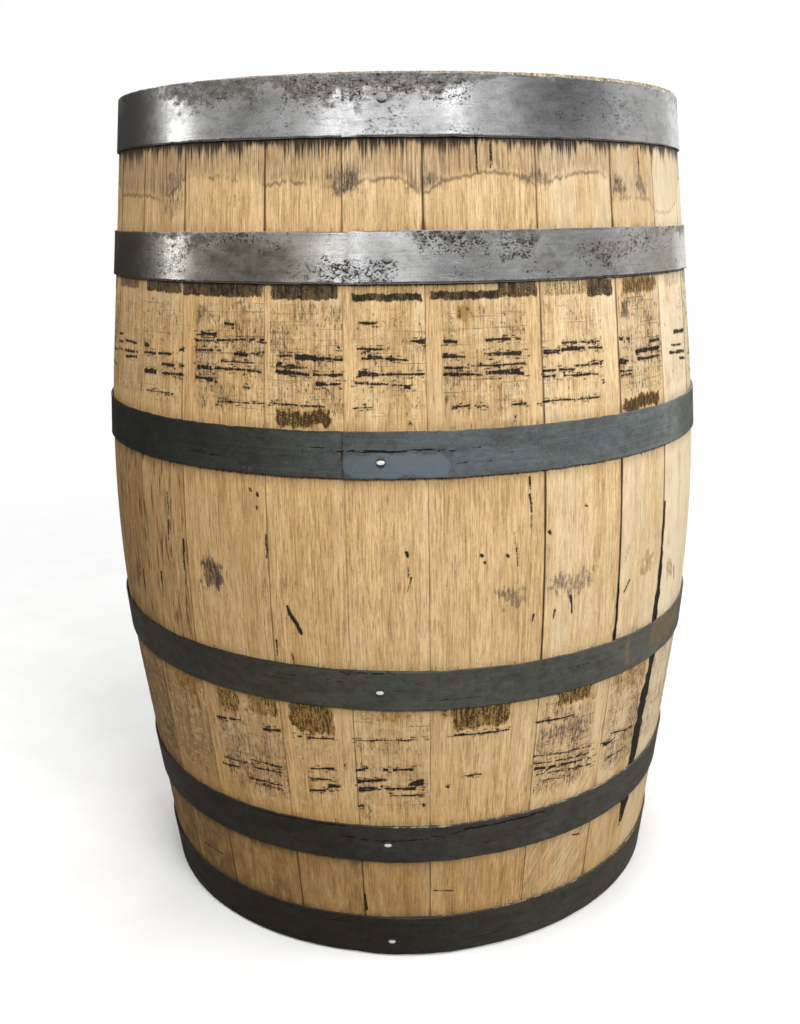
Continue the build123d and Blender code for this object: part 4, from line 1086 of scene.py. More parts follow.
def make_stave(k, name, hole=False):
    a, b = JOINTS[k], JOINTS[k + 1]
    width = math.radians(b - a) * R_BILGE
    edge = np.array([0.03, 0.3, 0.65, 1.1, 1.8, 3.0])
    mid = np.linspace(5.0, width - 5.0, int((width - 10) / (1.3 if k < 9 else 2.0)) + 1)
    s = np.concatenate([edge, mid, (width - edge)[::-1]])
    phi = a + s / width * (b - a)
    nc = len(s)

    inner = list(np.arange(H - Z_IN - 12.0, Z_IN + 6.0, -12.0))
    if hole:
        near = [z for z in rows if abs(z - HALF) < 42.0]
        inner = [z for z in inner if abs(z - HALF) > 48.0] + near
    inner = np.array(sorted(inner, reverse=True))
    path = [(float(outer_radius(z)), z, 0) for z in rows]
    path += [(r, H - d, 1) for r, d in END]
    path += [(float(inner_radius(z)), z, 2) for z in inner]
    path += [(r, d, 1) for r, d in END[::-1]]
    pr, pz, kind = (np.array(v) for v in zip(*path))
    n_out, n_all = len(rows), len(path)

    P = np.repeat(phi[:, None], n_all, 1)
    Z = np.repeat(pz[None, :], nc, 0)
    R = np.repeat(pr[None, :], nc, 0)
    out = np.arange(n_all) < n_out

    def relief(ph, zz):
        """How far the worn outer face lies inside the turned barrel."""
        t = (ph - a) / (b - a)
        ss = t * width
        e0, e1 = EDGE_R[k], EDGE_R[(k + 1) % n_staves]
        d0, d1 = np.clip(e0 - ss, 0, e0), np.clip(e1 - (width - ss), 0, e1)
        drop = (e0 - np.sqrt(np.maximum(e0 ** 2 - d0 ** 2, 0))) + (e1 - np.sqrt(np.maximum(e1 ** 2 - d1 ** 2, 0)))
        wave = 0.32 * fbm(ss / 34, zz / 150, 200 + k) + 0.10 * vnoise(ss / 3.1, zz / 46, 300 + k)
        base = np.minimum(STAVE_OFF[k] + STAVE_TILT[k] * (2 * t - 1), -0.02)
        return base - drop - wave

    R[:, :n_out] += relief(P[:, :n_out], Z[:, :n_out])
    # worn, slightly uneven stave ends
    wear = 0.15 + 0.75 * fbm(s / 7.0, 0 * s + k, 400)
    for j in range(n_all):
        if kind[j] == 1 and pz[j] > H - 1:
            Z[:, j] -= wear
            R[:, j] = np.minimum(R[:, j], R_END - 0.9 + STAVE_OFF[k])
        elif kind[j] == 1 and pz[j] < 1:
            Z[:, j] += 0.4 * wear
            R[:, j] = np.minimum(R[:, j], R_END - 0.9 + STAVE_OFF[k])

    idx = np.arange(nc * n_all).reshape(nc, n_all)
    quads = grid_quads(idx, wrap_j=True)                       # (nc-1, n_all, 4)
    seg = np.where(out & np.roll(out, -1), 0, np.where((kind == 2) | (np.roll(kind, -1) == 2), 2, 1))
    seg = np.repeat(seg[None, :], nc - 1, 0)
    alive = np.ones(seg.shape, bool)
    flat_p, flat_z, flat_r = P.ravel(), Z.ravel(), R.ravel()
    extra_q, extra_m = [], []

    if hole:
        x_of = R_BILGE * np.sin(np.radians(phi))
        cols = np.where(np.abs(x_of) < 36.0)[0]
        i0, i1 = cols[0], cols[-1]
        rsel = np.where(np.abs(rows - HALF) < 36.0)[0]
        j0, j1 = rsel[0], rsel[-1]
        to_in = {round(float(z), 4): n_out + len(END) + n for n, z in enumerate(inner)}
        jin = [to_in[round(float(rows[j]), 4)] for j in range(j0, j1 + 1)]
        alive[i0:i1, j0:j1] = False
        alive[i0:i1, jin[-1]:jin[0]] = False
        loop = ([(i, j0) for i in range(i0, i1)] + [(i1, j) for j in range(j0, j1)]
                + [(i, j1) for i in range(i1, i0, -1)] + [(i0, j) for j in range(j1, j0, -1)])
        outer_loop = np.array([idx[i, j] for i, j in loop])
        inner_loop = np.array([idx[i, jin[j - j0]] for i, j in loop])

        def ring_pts(loop_ids, radius, share, on_outer, push=0.0):
            bx = flat_r[loop_ids] * np.sin(np.radians(flat_p[loop_ids]))
            bz = flat_z[loop_ids] - HALF
            ang = np.arctan2(bz, bx)
            x = bx + (radius * np.cos(ang) - bx) * share
            zz = HALF + bz + (radius * np.sin(ang) - bz) * share
            r0 = outer_radius(zz) if on_outer else inner_radius(zz)
            ph = 180.0 - np.degrees(np.arcsin(x / r0))
            r = r0 + (relief(ph, zz) if on_outer else 0.0) - push
            ph = 180.0 - np.degrees(np.arcsin(x / r))
            return ph, zz, r

        new, count = [], len(flat_p)
        r_out, r_in = BUNG_R, BUNG_R - T_STAVE * BUNG_TAPER
        for share in (0.25, 0.5, 0.72, 0.88):
            new.append((ring_pts(outer_loop, r_out + 0.7, share, True), 0))
        new.append((ring_pts(outer_loop, r_out + 0.7, 1.0, True), 0))
        new.append((ring_pts(outer_loop, r_out + 0.25, 1.0, True, 0.25), 1))
        new.append((ring_pts(outer_loop, r_out, 1.0, True, 0.8), 1))
        po, zo, ro = new[-1][0]
        pi, zi, ri = ring_pts(inner_loop, r_in, 1.0, False, -0.4)
        for t in (0.25, 0.5, 0.75):
            xo, yo = ro * np.sin(np.radians(po)), -ro * np.cos(np.radians(po))
            xi, yi = ri * np.sin(np.radians(pi)), -ri * np.cos(np.radians(pi))
            xx, yy, zz = xo + (xi - xo) * t, yo + (yi - yo) * t, zo + (zi - zo) * t
            new.append(((np.degrees(np.arctan2(xx, -yy)) % 360.0, zz, np.hypot(xx, yy)), 1))
        new.append(((pi, zi, ri), 1))
        for share in (0.85, 0.6, 0.3):
            new.append((ring_pts(inner_loop, r_in, share, False), 2))
        rings, mats_r = [outer_loop], [0]
        for (ph, zz, r), m in new:
            rings.append(np.arange(count, count + len(ph)))
            mats_r.append(m)
            count += len(ph)
            flat_p = np.concatenate([flat_p, ph])
            flat_z = np.concatenate([flat_z, zz])
            flat_r = np.concatenate([flat_r, r])
        rings.append(inner_loop)
        mats_r.append(2)
        for r0, r1, m in zip(rings[:-1], rings[1:], mats_r[1:]):
            extra_q.append(np.stack([r0, np.roll(r0, -1), np.roll(r1, -1), r1], -1))
            extra_m.append(np.full(len(r0), m))

    all_quads = np.concatenate([quads[alive]] + extra_q)
    mat_ids = np.concatenate([seg[alive]] + extra_m)
    caps = [idx[0], idx[-1][::-1]]
    mat_ids = np.concatenate([mat_ids, [1, 1]])

    fields = wood_fields(flat_p, flat_z, k)
    across = (flat_p - a) / (b - a) * width
    depth = outer_radius(flat_z) - flat_r
    gco = np.stack([across + 130.0 * k, flat_z + 0.0 * across, 11.3 * k + depth * 0.02], -1)
    if hole:
        d = np.hypot(flat_r * np.sin(np.radians(flat_p)), flat_z - HALF) - BUNG_R
        fields["seam"] = np.maximum(fields["seam"], 0.95 * np.exp(-(np.maximum(d, 0) / 3.0) ** 2))
        fields["grey"] = np.maximum(fields["grey"], 0.9 * np.exp(-(np.maximum(d, 0) / 11.0) ** 2))
    obj = build(name + "_oak", place(flat_p, flat_r, flat_z), all_quads, caps, (OAK, OAK_END, CHAR), mat_ids,
                fields, {"gco": gco})
    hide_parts(name)
    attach(obj, "barrel")
    return obj


number = 0
for k in range(n_staves):
    if k == BUNG_INDEX:
        make_stave(k, "bung_stave", hole=True)
    else:
        number += 1
        make_stave(k, "stave_%02d" % number)

# ------------------------------------------------------------------ hoops
# Lower border of the rust on the two bright hoops: angle and share of the width.
RUST = {
    0: [(-66, 1.1), (-56, 0.98), (-50, 0.84), (-45, 0.70), (-40, 0.56), (-34, 0.52), (-27, 0.50), (-23.5, 0.62), (-22, 0.80),
        (-20, 0.66), (-18, 0.50), (-12, 0.46), (-8, 0.55), (-2, 0.58), (3, 0.60), (9, 0.60), (12, 0.72), (16, 1.0), (22, 1.1),
        (48, 1.1), (56, 0.95), (64, 0.9), (72, 0.75)],
    1: [(-66, 1.2), (-52, 1.1), (-48, 0.75), (-40, 0.72), (-34, 0.72), (-29, 0.88), (-24, 1.0), (-20, 1.05), (-10, 1.1),
        (0, 1.05), (3, 0.72), (8, 0.60), (12, 0.64), (14.5, 0.95), (16, 0.80), (20, 0.55), (23, 0.80), (26, 1.1), (44, 1.1),
        (50, 0.95), (58, 0.9), (72, 0.8)],
}
# Pitted spots: first and last angle, lowest and highest share of the width, strength.
PITS = {
    0: [(-45, -22, 0.50, 1.0, 0.55), (-20, 12, 0.55, 1.0, 0.84), (-24, -12, 0.25, 0.62, 0.50), (-6, 4, 0.0, 0.35, 0.70),
        (8, 14, 0.0, 0.2, 0.5), (-30, -17, 0.0, 0.35, 0.55), (22, 50, 0.2, 0.9, 0.60), (-2, 1.5, 0.28, 0.55, 0.75)],
    1: [(-51, -38, 0.05, 1.0, 0.70), (-36, -24, 0.60, 1.0, 0.75), (-14, -1, 0.0, 0.50, 1.2), (-19, -13, 0.05, 0.45, 0.8),
        (2, 14, 0.55, 1.0, 1.05), (8, 14, 0.05, 0.35, 0.75), (15, 23, 0.35, 0.95, 1.05), (30, 42, 0.2, 0.75, 1.0),
        (-24, -19, 0.55, 0.95, 0.7), (20, 27, 0.0, 0.25, 0.7), (41, 60, 0.4, 1.0, 0.8)],
}
# Dull film, the same way.
FILM = {
    0: [(-45, -22, 0.30, 0.75, 0.38), (-42, -24, 0.0, 0.5, 0.22), (-46, -25, 0.66, 1.0, 0.70), (16, 37, 0.0, 1.0, 0.30),
        (18, 23, 0.5, 0.8, 0.60), (27, 33, 0.15, 0.5, 0.62), (22, 34, 0.55, 0.9, 0.45), (37, 52, 0.0, 1.0, 0.15), (60, 75, 0.6, 1.0, 0.4)],
    1: [(-38, -17, 0.0, 0.95, 0.70), (-20, -15, 0.0, 0.5, 0.5), (18, 46, 0.0, 1.0, 0.12), (52, 80, 0.0, 1.0, 0.10)],
}
for k in (0, 1):
    for p in np.arange(78, 292, 6.0):
        RUST[k].append((p, 0.55 + 0.75 * rng.random()))
    for _ in range(18):
        p = rng.uniform(72, 285)
        v = rng.choice([0.0, 0.3, 0.55, 0.65])
        PITS[k].append((p, p + rng.uniform(6, 24), v, min(1.0, v + rng.uniform(0.3, 0.5)), rng.uniform(0.5, 1.1)))
    for _ in range(7):
        p = rng.uniform(80, 270)
        FILM[k].append((p, p + rng.uniform(8, 24), 0.0, 1.0, rng.uniform(0.4, 0.95)))
# Dark creases on the four dark hoops: angle and share of the width at both ends, thickness.
CREASES = {
    2: [(-10.5, 0.56, -8, 0.60, 1.8), (-8, 0.60, -3, 0.58, 2.6), (-3, 0.58, 4, 0.61, 2.0), (4, 0.61, 9, 0.58, 1.5),
        (9, 0.58, 12, 0.62, 1.2), (-9.6, 0.54, -9.9, 0.20, 1.3), (-15.5, 0.64, -12.5, 0.66, 1.4), (-15.8, 0.62, -16, 0.42, 0.9),
        (-36, 0.35, -31, 0.30, 1.5), (8, 0.30, 16, 0.33, 1.1), (3, 0.85, 3.6, 0.78, 1.2), (14, 0.45, 18, 0.46, 1.0)],
    3: [(-20, 0.72, -11, 0.70, 1.1), (3, 0.25, 12, 0.28, 1.2), (28, 0.62, 36, 0.60, 1.2), (-11, 0.94, -2, 0.98, 1.6)],
    4: [(-13, 0.66, -5, 0.62, 1.8), (-5, 0.62, 3, 0.66, 1.6), (10, 0.84, 26, 0.90, 2.4), (-30, 0.95, -12, 0.97, 1.8),
        (3, 0.70, 10, 0.80, 1.4), (14, 0.35, 18, 0.38, 1.2), (-6.4, 0.10, -6.2, 0.95, 0.8)],
    5: [(-20, 0.80, -8, 0.82, 1.2), (12, 0.3, 22, 0.33, 1.1), (0, 0.9, 10, 0.93, 1.0)],
}
PATCHES = {
    2: [(-9.4, 7.0, 0.02, 0.56, 1.0), (7, 22, 0.1, 0.6, 0.6), (22, 40, 0.2, 0.8, 0.4), (0, 14, 0.64, 0.95, 0.5)],
    3: [(-8, 8, 0.1, 0.6, 0.25)], 4: [(-12, 2, 0.0, 0.5, 0.25)], 5: [],
}
STAINS = {
    2: [(30, 33, 0.0, 0.15, 0.7), (-28, -24, 0.0, 0.12, 0.8), (-18, -12, 0.0, 0.10, 0.75), (55, 60, 0.1, 0.8, 0.6)],
    3: [(41.5, 44, 0.1, 0.95, 1.0), (49, 66, 0.2, 1.0, 0.85), (-50, -46, 0.2, 0.7, 0.4), (45, 52, 0.3, 0.8, 0.5)],
    4: [(-25, 30, 0.94, 1.0, 0.5)],
    5: [(20, 55, 0.90, 1.0, 0.6)],
}
# Bare chips along the upper edge, angle by angle; the long runs on the front right are a painted highlight along the
# lit top edge.
CHIPS_AND_HIGHLIGHT = {2: [(-40, -20, 0.35), (38, 64, 0.55)], 3: [(14, 66, 0.62)], 4: [(-5, 66, 0.86)], 5: [(14, 66, 0.90)]}
for k in (2, 3, 4, 5):
    for _ in range(14):
        p, v = rng.uniform(72, 280), rng.uniform(0.1, 0.9)
        CREASES[k].append((p, v, p + rng.uniform(3, 10), v + rng.uniform(-.06, .06), rng.uniform(0.9, 2.0)))
    for _ in range(6):
        p, v = rng.uniform(72, 280), rng.choice([0.0, 0.3, 0.5])
        PATCHES[k].append((p, p + rng.uniform(8, 26), v, v + 0.45, rng.uniform(0.3, 0.7)))
        p = rng.uniform(72, 280)
        STAINS[k].append((p, p + rng.uniform(2, 9), rng.choice([0.0, 0.85]), 1.0, rng.uniform(0.4, 0.9)))
        p = rng.uniform(72, 270)
        CHIPS_AND_HIGHLIGHT[k].append((p, p + rng.uniform(10, 30), rng.uniform(0.3, 0.75)))
# Colour of each dark hoop, and how its tarnish deepens and thins round it; the rise from the dark left to the pale
# front right is partly painted light.
HUES = {2: (0.098, 0.111, 0.113), 3: (0.083, 0.084, 0.073), 4: (0.050, 0.0475, 0.042), 5: (0.033, 0.031, 0.0245)}
TARNISH_AND_LIGHT = {
    2: [(-66, 0.20), (-45, 0.30), (-25, 0.50), (-12, 0.88), (0, 1.10), (25, 1.10), (46, 1.4), (52, 1.9), (57, 1.85), (62, 1.45), (70, 1.35), (100, 0.9), (180, 0.7), (294, 0.28)],
    3: [(-66, 0.34), (-45, 0.44), (-20, 0.74), (0, 1.10), (25, 1.06), (50, 1.5), (66, 1.55), (100, 0.9), (180, 0.8), (294, 0.42)],
    4: [(-66, 0.28), (-40, 0.46), (-15, 0.76), (0, 1.0), (25, 1.35), (50, 1.45), (66, 1.4), (100, 1.0), (180, 1.1), (294, 0.42)],
    5: [(-66, 0.36), (-40, 0.56), (-15, 0.8), (0, 1.0), (25, 1.75), (50, 2.1), (66, 2.0), (100, 1.3), (180, 1.2), (294, 0.45)],
}


def strip_patch(phi, v, patches, rm, width, soft=4.0, rough=5.0, seed=650):
    x, y = phi * math.radians(1.0) * rm, v * width
    wx = 2.2 * (fbm(x / 14.0, y / 11.0, seed) - 0.5) + 0.8 * (vnoise(x / 3.2, y / 3.0, seed + 3) - 0.5)
    wy = 2.2 * (fbm(x / 11.0, y / 13.0, seed + 9) - 0.5) + 0.8 * (vnoise(x / 2.8, y / 3.2, seed + 5) - 0.5)
    total = np.zeros(phi.shape)
    for p0, p1, v0, v1, s in patches:
        hw, hh = (p1 - p0) * math.radians(1.0) * rm / 2, (v1 - v0) * width / 2
        k = min(rough, 0.8 * hw, 0.9 * hh)
        corner = 0.8 * min(hw, hh)
        dx = np.abs(x + k * wx - (p0 + p1) / 2 * math.radians(1.0) * rm) - hw + corner
        dy = np.abs(y + k * wy - (v0 + v1) / 2 * width) - hh + corner
        d = np.hypot(np.maximum(dx, 0), np.maximum(dy, 0)) + np.minimum(np.maximum(dx, dy), 0) - corner
        total = np.maximum(total, s * (1.0 - ramp(d, -soft, soft)))
    return total


def make_hoop(k):
    name, z0, z1, lean, rivet_angle, rivet_z = HOOPS[k]
    zm, half = (z0 + z1) / 2, (z1 - z0) / 2
    rm, sl = float(outer_radius(zm)), outer_slope(zm)
    c = 1.0 / math.hypot(1.0, sl)
    per_mm = math.degrees(1.0 / rm)
    lap_a, lap_b = rivet_angle - LAP_LEFT * per_mm, rivet_angle + LAP_RIGHT * per_mm
    n_in, n_out = HOOP_GAP, HOOP_GAP + T_HOOP + LAP_GAP
    start, stop = lap_a, lap_b + 360.0 - 0.2 * per_mm
    count = int((stop - start) / per_mm / 1.8)
    theta = np.linspace(start, stop, count)
    theta = np.unique(np.concatenate([theta, start + per_mm * np.array([0.25, 0.6, 1.1]),
                                      lap_b + per_mm * np.arange(0.5, 16.0, 0.8)]))
    # the strip lies on its own end, then comes down on to the staves
    lift = n_in + (n_out - n_in) * (1.0 - ramp(theta, lap_b + 1.0 * per_mm, lap_b + 46.0 * per_mm))
    x = rm * np.sin(np.radians(theta))
    y = 0.0
    cos_l, tan_l = math.cos(math.radians(lean)), math.tan(math.radians(lean))
    # the two edges, as distances along the strip's slope from its middle
    u_lo = (-half / cos_l + tan_l * x) / (c * (1.0 - tan_l * sl * np.sin(np.radians(theta))))
    u_hi = (half / cos_l + tan_l * x) / (c * (1.0 - tan_l * sl * np.sin(np.radians(theta))))
    t_s = theta / per_mm
    nick = fbm(t_s / 13.0, 0 * t_s, 500 + k, 4)
    nick2 = fbm(t_s / 11.0, 0 * t_s + 5, 520 + k, 4)
    amount = 0.8 if k < 2 else 0.9
    u_hi = u_hi - 0.1 - amount * np.maximum(nick - 0.42, 0) * 2.2
    u_lo = u_lo + 0.1 + amount * np.maximum(nick2 - 0.46, 0) * 1.8
    # free end, cut a little out of square
    e = 0.45
    mid = np.linspace(0.0, 1.0, 27)
    rows_u, rows_n, vs = [], [], []

    def row(u, n, v):
        rows_u.append(u)
        rows_n.append(n)
        vs.append(v)

    wide = u_hi - u_lo
    row(u_lo, T_HOOP * 0.30 + 0 * t_s, 0.0)
    row(u_lo + 0.04, T_HOOP * 0.62 + 0 * t_s, 0.0)
    row(u_lo + 0.18, T_HOOP * 0.88 + 0 * t_s, 0.0)
    for m in mid:
        row(u_lo + e + (wide - 2 * e) * m, T_HOOP + 0 * t_s, m)
    row(u_hi - 0.18, T_HOOP * 0.88 + 0 * t_s, 1.0)
    row(u_hi - 0.04, T_HOOP * 0.62 + 0 * t_s, 1.0)
    row(u_hi, T_HOOP * 0.30 + 0 * t_s, 1.0)
    row(u_hi - 0.2, 0.0 * t_s, 1.0)
    row(u_lo + wide * 0.5, 0.0 * t_s, 0.5)
    row(u_lo + 0.2, 0.0 * t_s, 0.0)
    U, N = np.stack(rows_u, 1), np.stack(rows_n, 1)
    V = np.repeat(np.array(vs)[None, :], len(theta), 0)
    P = np.repeat(theta[:, None], U.shape[1], 1)
    S = np.repeat(t_s[:, None], U.shape[1], 1)
    # beaten, slightly wavy strip: both faces move together
    wave = 0.22 * (fbm(S / 60.0, U / 26.0, 540 + k) - 0.5) + 0.10 * (fbm(S / 17.0, U / 12.0, 560 + k) - 0.5)
    edge_curl = 0.30 * ramp(np.abs(V - 0.5), 0.42, 0.5) * (fbm(S / 45.0, 0 * S, 580 + k) - 0.3)
    free = (P >= lap_b) & (P <= lap_a + 360.0)
    lift2 = lift[:, None] + np.where(free, np.maximum(wave + edge_curl, -0.03), 0.3 * np.maximum(wave, -0.03))
    # the lap's cut end: hammered thin, but left square on the upper bilge hoop
    first = np.exp(-((P - start) / per_mm / 1.0) ** 2) * (P < start + 4 * per_mm)
    thin = 0.78 * ramp((P - start) / per_mm, 28.0, 0.0) * (P < start + 29 * per_mm) if k != 2 else 0.0
    dn = N * (1.0 - thin) + lift2
    if k == 2:
        dn = dn - first * np.where(N > T_HOOP * 0.5, 0.35, 0.0)
    Rr = rm + c * (U * sl + dn)
    Zz = zm + c * (U - dn * sl)
    idx = np.arange(Rr.size).reshape(Rr.shape)
    quads = grid_quads(idx, wrap_j=True).reshape(-1, 4)
    caps = [idx[0], idx[-1][::-1]]
    flat = [v.ravel() for v in (P, V, Rr, Zz, U, S)]
    p, v, r, z, u, s = flat
    # angles for the lists run from -66 to 294
    ang = np.where(p > 293.65, p - 360.0, p)
    width = float(np.mean(wide))
    lo_d = (U - u_lo[:, None]).ravel()
    hi_d = (u_hi[:, None] - U).ravel()
    fields = {"rimdist": np.minimum(lo_d, hi_d)}
    vectors = {"gco": np.stack([s, u + 60.0, 0 * s + 37.7 * k], -1)}
    if k < 2:
        table = sorted(RUST[k])
        border = np.interp(ang, [q[0] for q in table], [q[1] for q in table])
        rag = 0.5 * (fbm(s / 16.0, u / 12.0, 600 + k, 4) - 0.5) + 0.3 * (vnoise(s / 4.0, u / 4.5, 604 + k) - 0.5)
        fields["rust"] = np.clip((v + rag - border) * 3.2 + 0.45, -0.4, 1.1)
        fields["pit"] = (0.24 + 0.3 * (fbm(s / 50, u / 30, 606 + k) - 0.5)
                         + 0.55 * strip_patch(ang, v, PITS[k], rm, width, 5.0, 7.0) + 0.12 * ramp(hi_d, 7, 0))
        # painted shade: the dull film is laid over the left of both bright hoops, darkening the steel where it would
        # mirror dark surroundings
        shaded = np.interp(ang, [-66, -54, -47, -42, 262, 282, 294], [1.3, 1.15, 0.5, 0.0, 0.0, 0.9, 1.3])
        fields["warmth_and_shade"] = (0.15, 1.0)[k] * np.interp(ang, [-66, -48, -36, -18, -8, 40, 54, 90, 150, 294],
                                                    [0.8, 0.5, 1.0, 1.0, 0.1, 0.2, 1.0, 1.0, 0.3, 0.8])
        fields["film_and_shade"] = np.maximum(strip_patch(ang, v, FILM[k], rm, width, 14.0, 7.0, 660), shaded)
    else:
        mark_and_shade = np.full(p.shape, -1.0)
        per = math.radians(1.0) * rm
        jig = 2.2 * (fbm(s / 6.0, u / 9.0, 610 + k) - 0.5)
        for p0, v0, p1, v1, w in CREASES[k]:
            dx, dy = (p1 - p0) * per, (v1 - v0) * width
            xx, yy = (ang - p0) * per, (v - v0) * width + jig
            t = np.clip((xx * dx + yy * dy) / (dx * dx + dy * dy + 1e-9), 0, 1)
            d = np.hypot(xx - t * dx, yy - t * dy) - w / 2
            mark_and_shade = np.maximum(mark_and_shade, np.clip(0.5 - d / 2.0, -1.0, 1.2))
        # painted shadow: dark line along the free end of the lap, where its step would shade the strip
        cut = np.abs((p - start) / per_mm)
        mark_and_shade = np.maximum(mark_and_shade, np.clip((0.62 if k == 2 else 0.30) - cut / 1.5, -1.0, 1.0))
        fields["mark_and_shade"] = mark_and_shade
        fields["patch"] = strip_patch(ang, v, PATCHES[k], rm, width, 3.0, 4.0, 670)
        fields["stain"] = strip_patch(ang, v, STAINS[k], rm, width, 8.0, 9.0, 680)
        chip_and_highlight = np.zeros(p.shape)
        for p0, p1, q in CHIPS_AND_HIGHLIGHT[k]:
            chip_and_highlight = np.maximum(chip_and_highlight, q * ramp(ang, p0 - 3, p0 + 3) * ramp(ang, p1 + 3, p1 - 3))
        fields["chip_and_highlight"] = chip_and_highlight * ramp(hi_d, 3.4, 0.4) - 0.35
        # tarnish, partly painted light: dark on the left, pale on the lit front right
        table = TARNISH_AND_LIGHT[k]
        tarnish_and_light = np.interp(ang, [q[0] for q in table], [q[1] for q in table]) + 0.3 * (fbm(s / 90, u / 40, 640 + k) - .5)
        brown = np.interp(ang, [-66, -22, -6, 48, 62, 294], [1.0, 1.0, 0.0, 0.0, 0.8, 1.0])[:, None]
        vectors["hue"] = np.maximum(tarnish_and_light, 0.1)[:, None] * np.array(HUES[k])[None, :] * (1.0 + brown * np.array([0.04, -0.02, -0.17]))
        # painted shade: the upper edge is darkened, except on the lit front right
        shaded_lip = ramp(hi_d, 1.0, 0.3) * np.interp(ang, [-66, -10, 12, 60, 100, 294], [1.0, 0.9, 0.0, 0.0, 0.4, 1.0])
        vectors["hue"] = vectors["hue"] * (1.0 - 0.65 * shaded_lip)[:, None]
    obj = build(name + "_strip", place(p, r, z), quads, caps, (BRIGHT if k < 2 else DARK,), None, fields, vectors, sharp=40.0)
    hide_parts(name)
    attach(obj, "barrel")
    return obj


for k in range(6):
    make_hoop(k)

# ------------------------------------------------------------------ rivets
def make_rivets():
    seg = 40
    prof = [(0.02, HOOP_GAP + 0.1), (RIVET_R * 0.92, HOOP_GAP + 0.1), (RIVET_R, HOOP_GAP + 0.3)]
    seat = HOOP_GAP + 2 * T_HOOP + LAP_GAP + 0.08
    prof += [(RIVET_R, seat), (RIVET_HEAD_R - 0.4, seat), (RIVET_HEAD_R - 0.05, seat + 0.22)]
    cap = (RIVET_HEAD_R ** 2 + RIVET_HEAD_H ** 2) / (2 * RIVET_HEAD_H)
    for q in (0.95, 0.86, 0.74, 0.60, 0.45, 0.30, 0.15, 0.02):
        rr = RIVET_HEAD_R * q
        prof.append((rr, seat + RIVET_HEAD_H - cap + math.sqrt(cap ** 2 - rr ** 2)))
    prof = np.array(prof)
    co, quads, ngons, worn, bare_and_shadow = [], [], [], [], []
    base = 0
    for k, (_, z0, z1, _, ra, rz) in enumerate(HOOPS):
        zm = (z0 + z1) / 2
        sl = outer_slope(zm)
        c = 1.0 / math.hypot(1.0, sl)
        a = math.radians(ra)
        normal = Vector((c * math.sin(a), -c * math.cos(a), -c * sl))
        rr = float(outer_radius(zm)) + sl * (rz - zm)
        foot = Vector((rr * math.sin(a), -rr * math.cos(a), rz))
        side = Vector((math.cos(a), math.sin(a), 0.0))
        up = normal.cross(side)
        ang = np.linspace(0, 2 * np.pi, seg, endpoint=False)
        beat = 1.0 + 0.05 * (vnoise(np.cos(ang) * 1.7 + 9 * k, np.sin(ang) * 1.7, 700) - 0.5)
        pts = np.zeros((seg, len(prof), 3))
        for j, (pr, pn) in enumerate(prof):
            head = j >= 4
            q = pr * (beat if head and pr > 1 else 1.0)
            n = pn - (0.25 * vnoise(np.cos(ang) * pr / 2 + 5 * k, np.sin(ang) * pr / 2, 720) if j > 6 else 0.0)
            pts[:, j] = (np.array(foot) + np.outer(q * np.cos(ang), np.array(side)) + np.outer(q * np.sin(ang), np.array(up))
                         + np.outer(n + 0 * ang, np.array(normal)))
        idx = base + np.arange(seg * len(prof)).reshape(seg, len(prof))
        loop = np.concatenate([idx, idx[:1]])
        quads.append(grid_quads(loop).reshape(-1, 4))
        ngons += [idx[:, 0][::-1], idx[:, -1]]
        co.append(pts.reshape(-1, 3))
        # partly painted glint: a pale worn oval on top of each rivet head of the four dark hoops
        across = np.outer(np.cos(ang), prof[:, 0]) / 3.7
        along = (np.outer(np.sin(ang), prof[:, 0]) - 0.3) / 1.9
        flat = np.where(np.arange(len(prof))[None, :] >= 6, 1.3 - np.hypot(across, along) * 0.8, 0.0)
        worn.append((flat * (0.0 if k < 2 else 1.0)).ravel())
        # painted shadow: a dark crescent along the lower rim of each rivet head on the two bright hoops
        ring = np.outer(0.5 - 0.5 * np.sin(ang), prof[:, 0] / RIVET_HEAD_R)
        bare_and_shadow.append(((1.0 - 0.9 * ramp(ring, 0.45, 0.72)) * (1.0 if k < 2 else 0.0)).ravel())
        base += seg * len(prof)
    co = np.concatenate(co)
    obj = build("hoop_rivets_domed", co * MM, np.concatenate(quads), ngons, (RIVET,), None,
                {"worn": np.concatenate(worn), "bare_and_shadow": np.concatenate(bare_and_shadow)}, {"gco": co}, sharp=38.0)
    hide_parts("hoop_rivets")
    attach(obj, "barrel")


make_rivets()

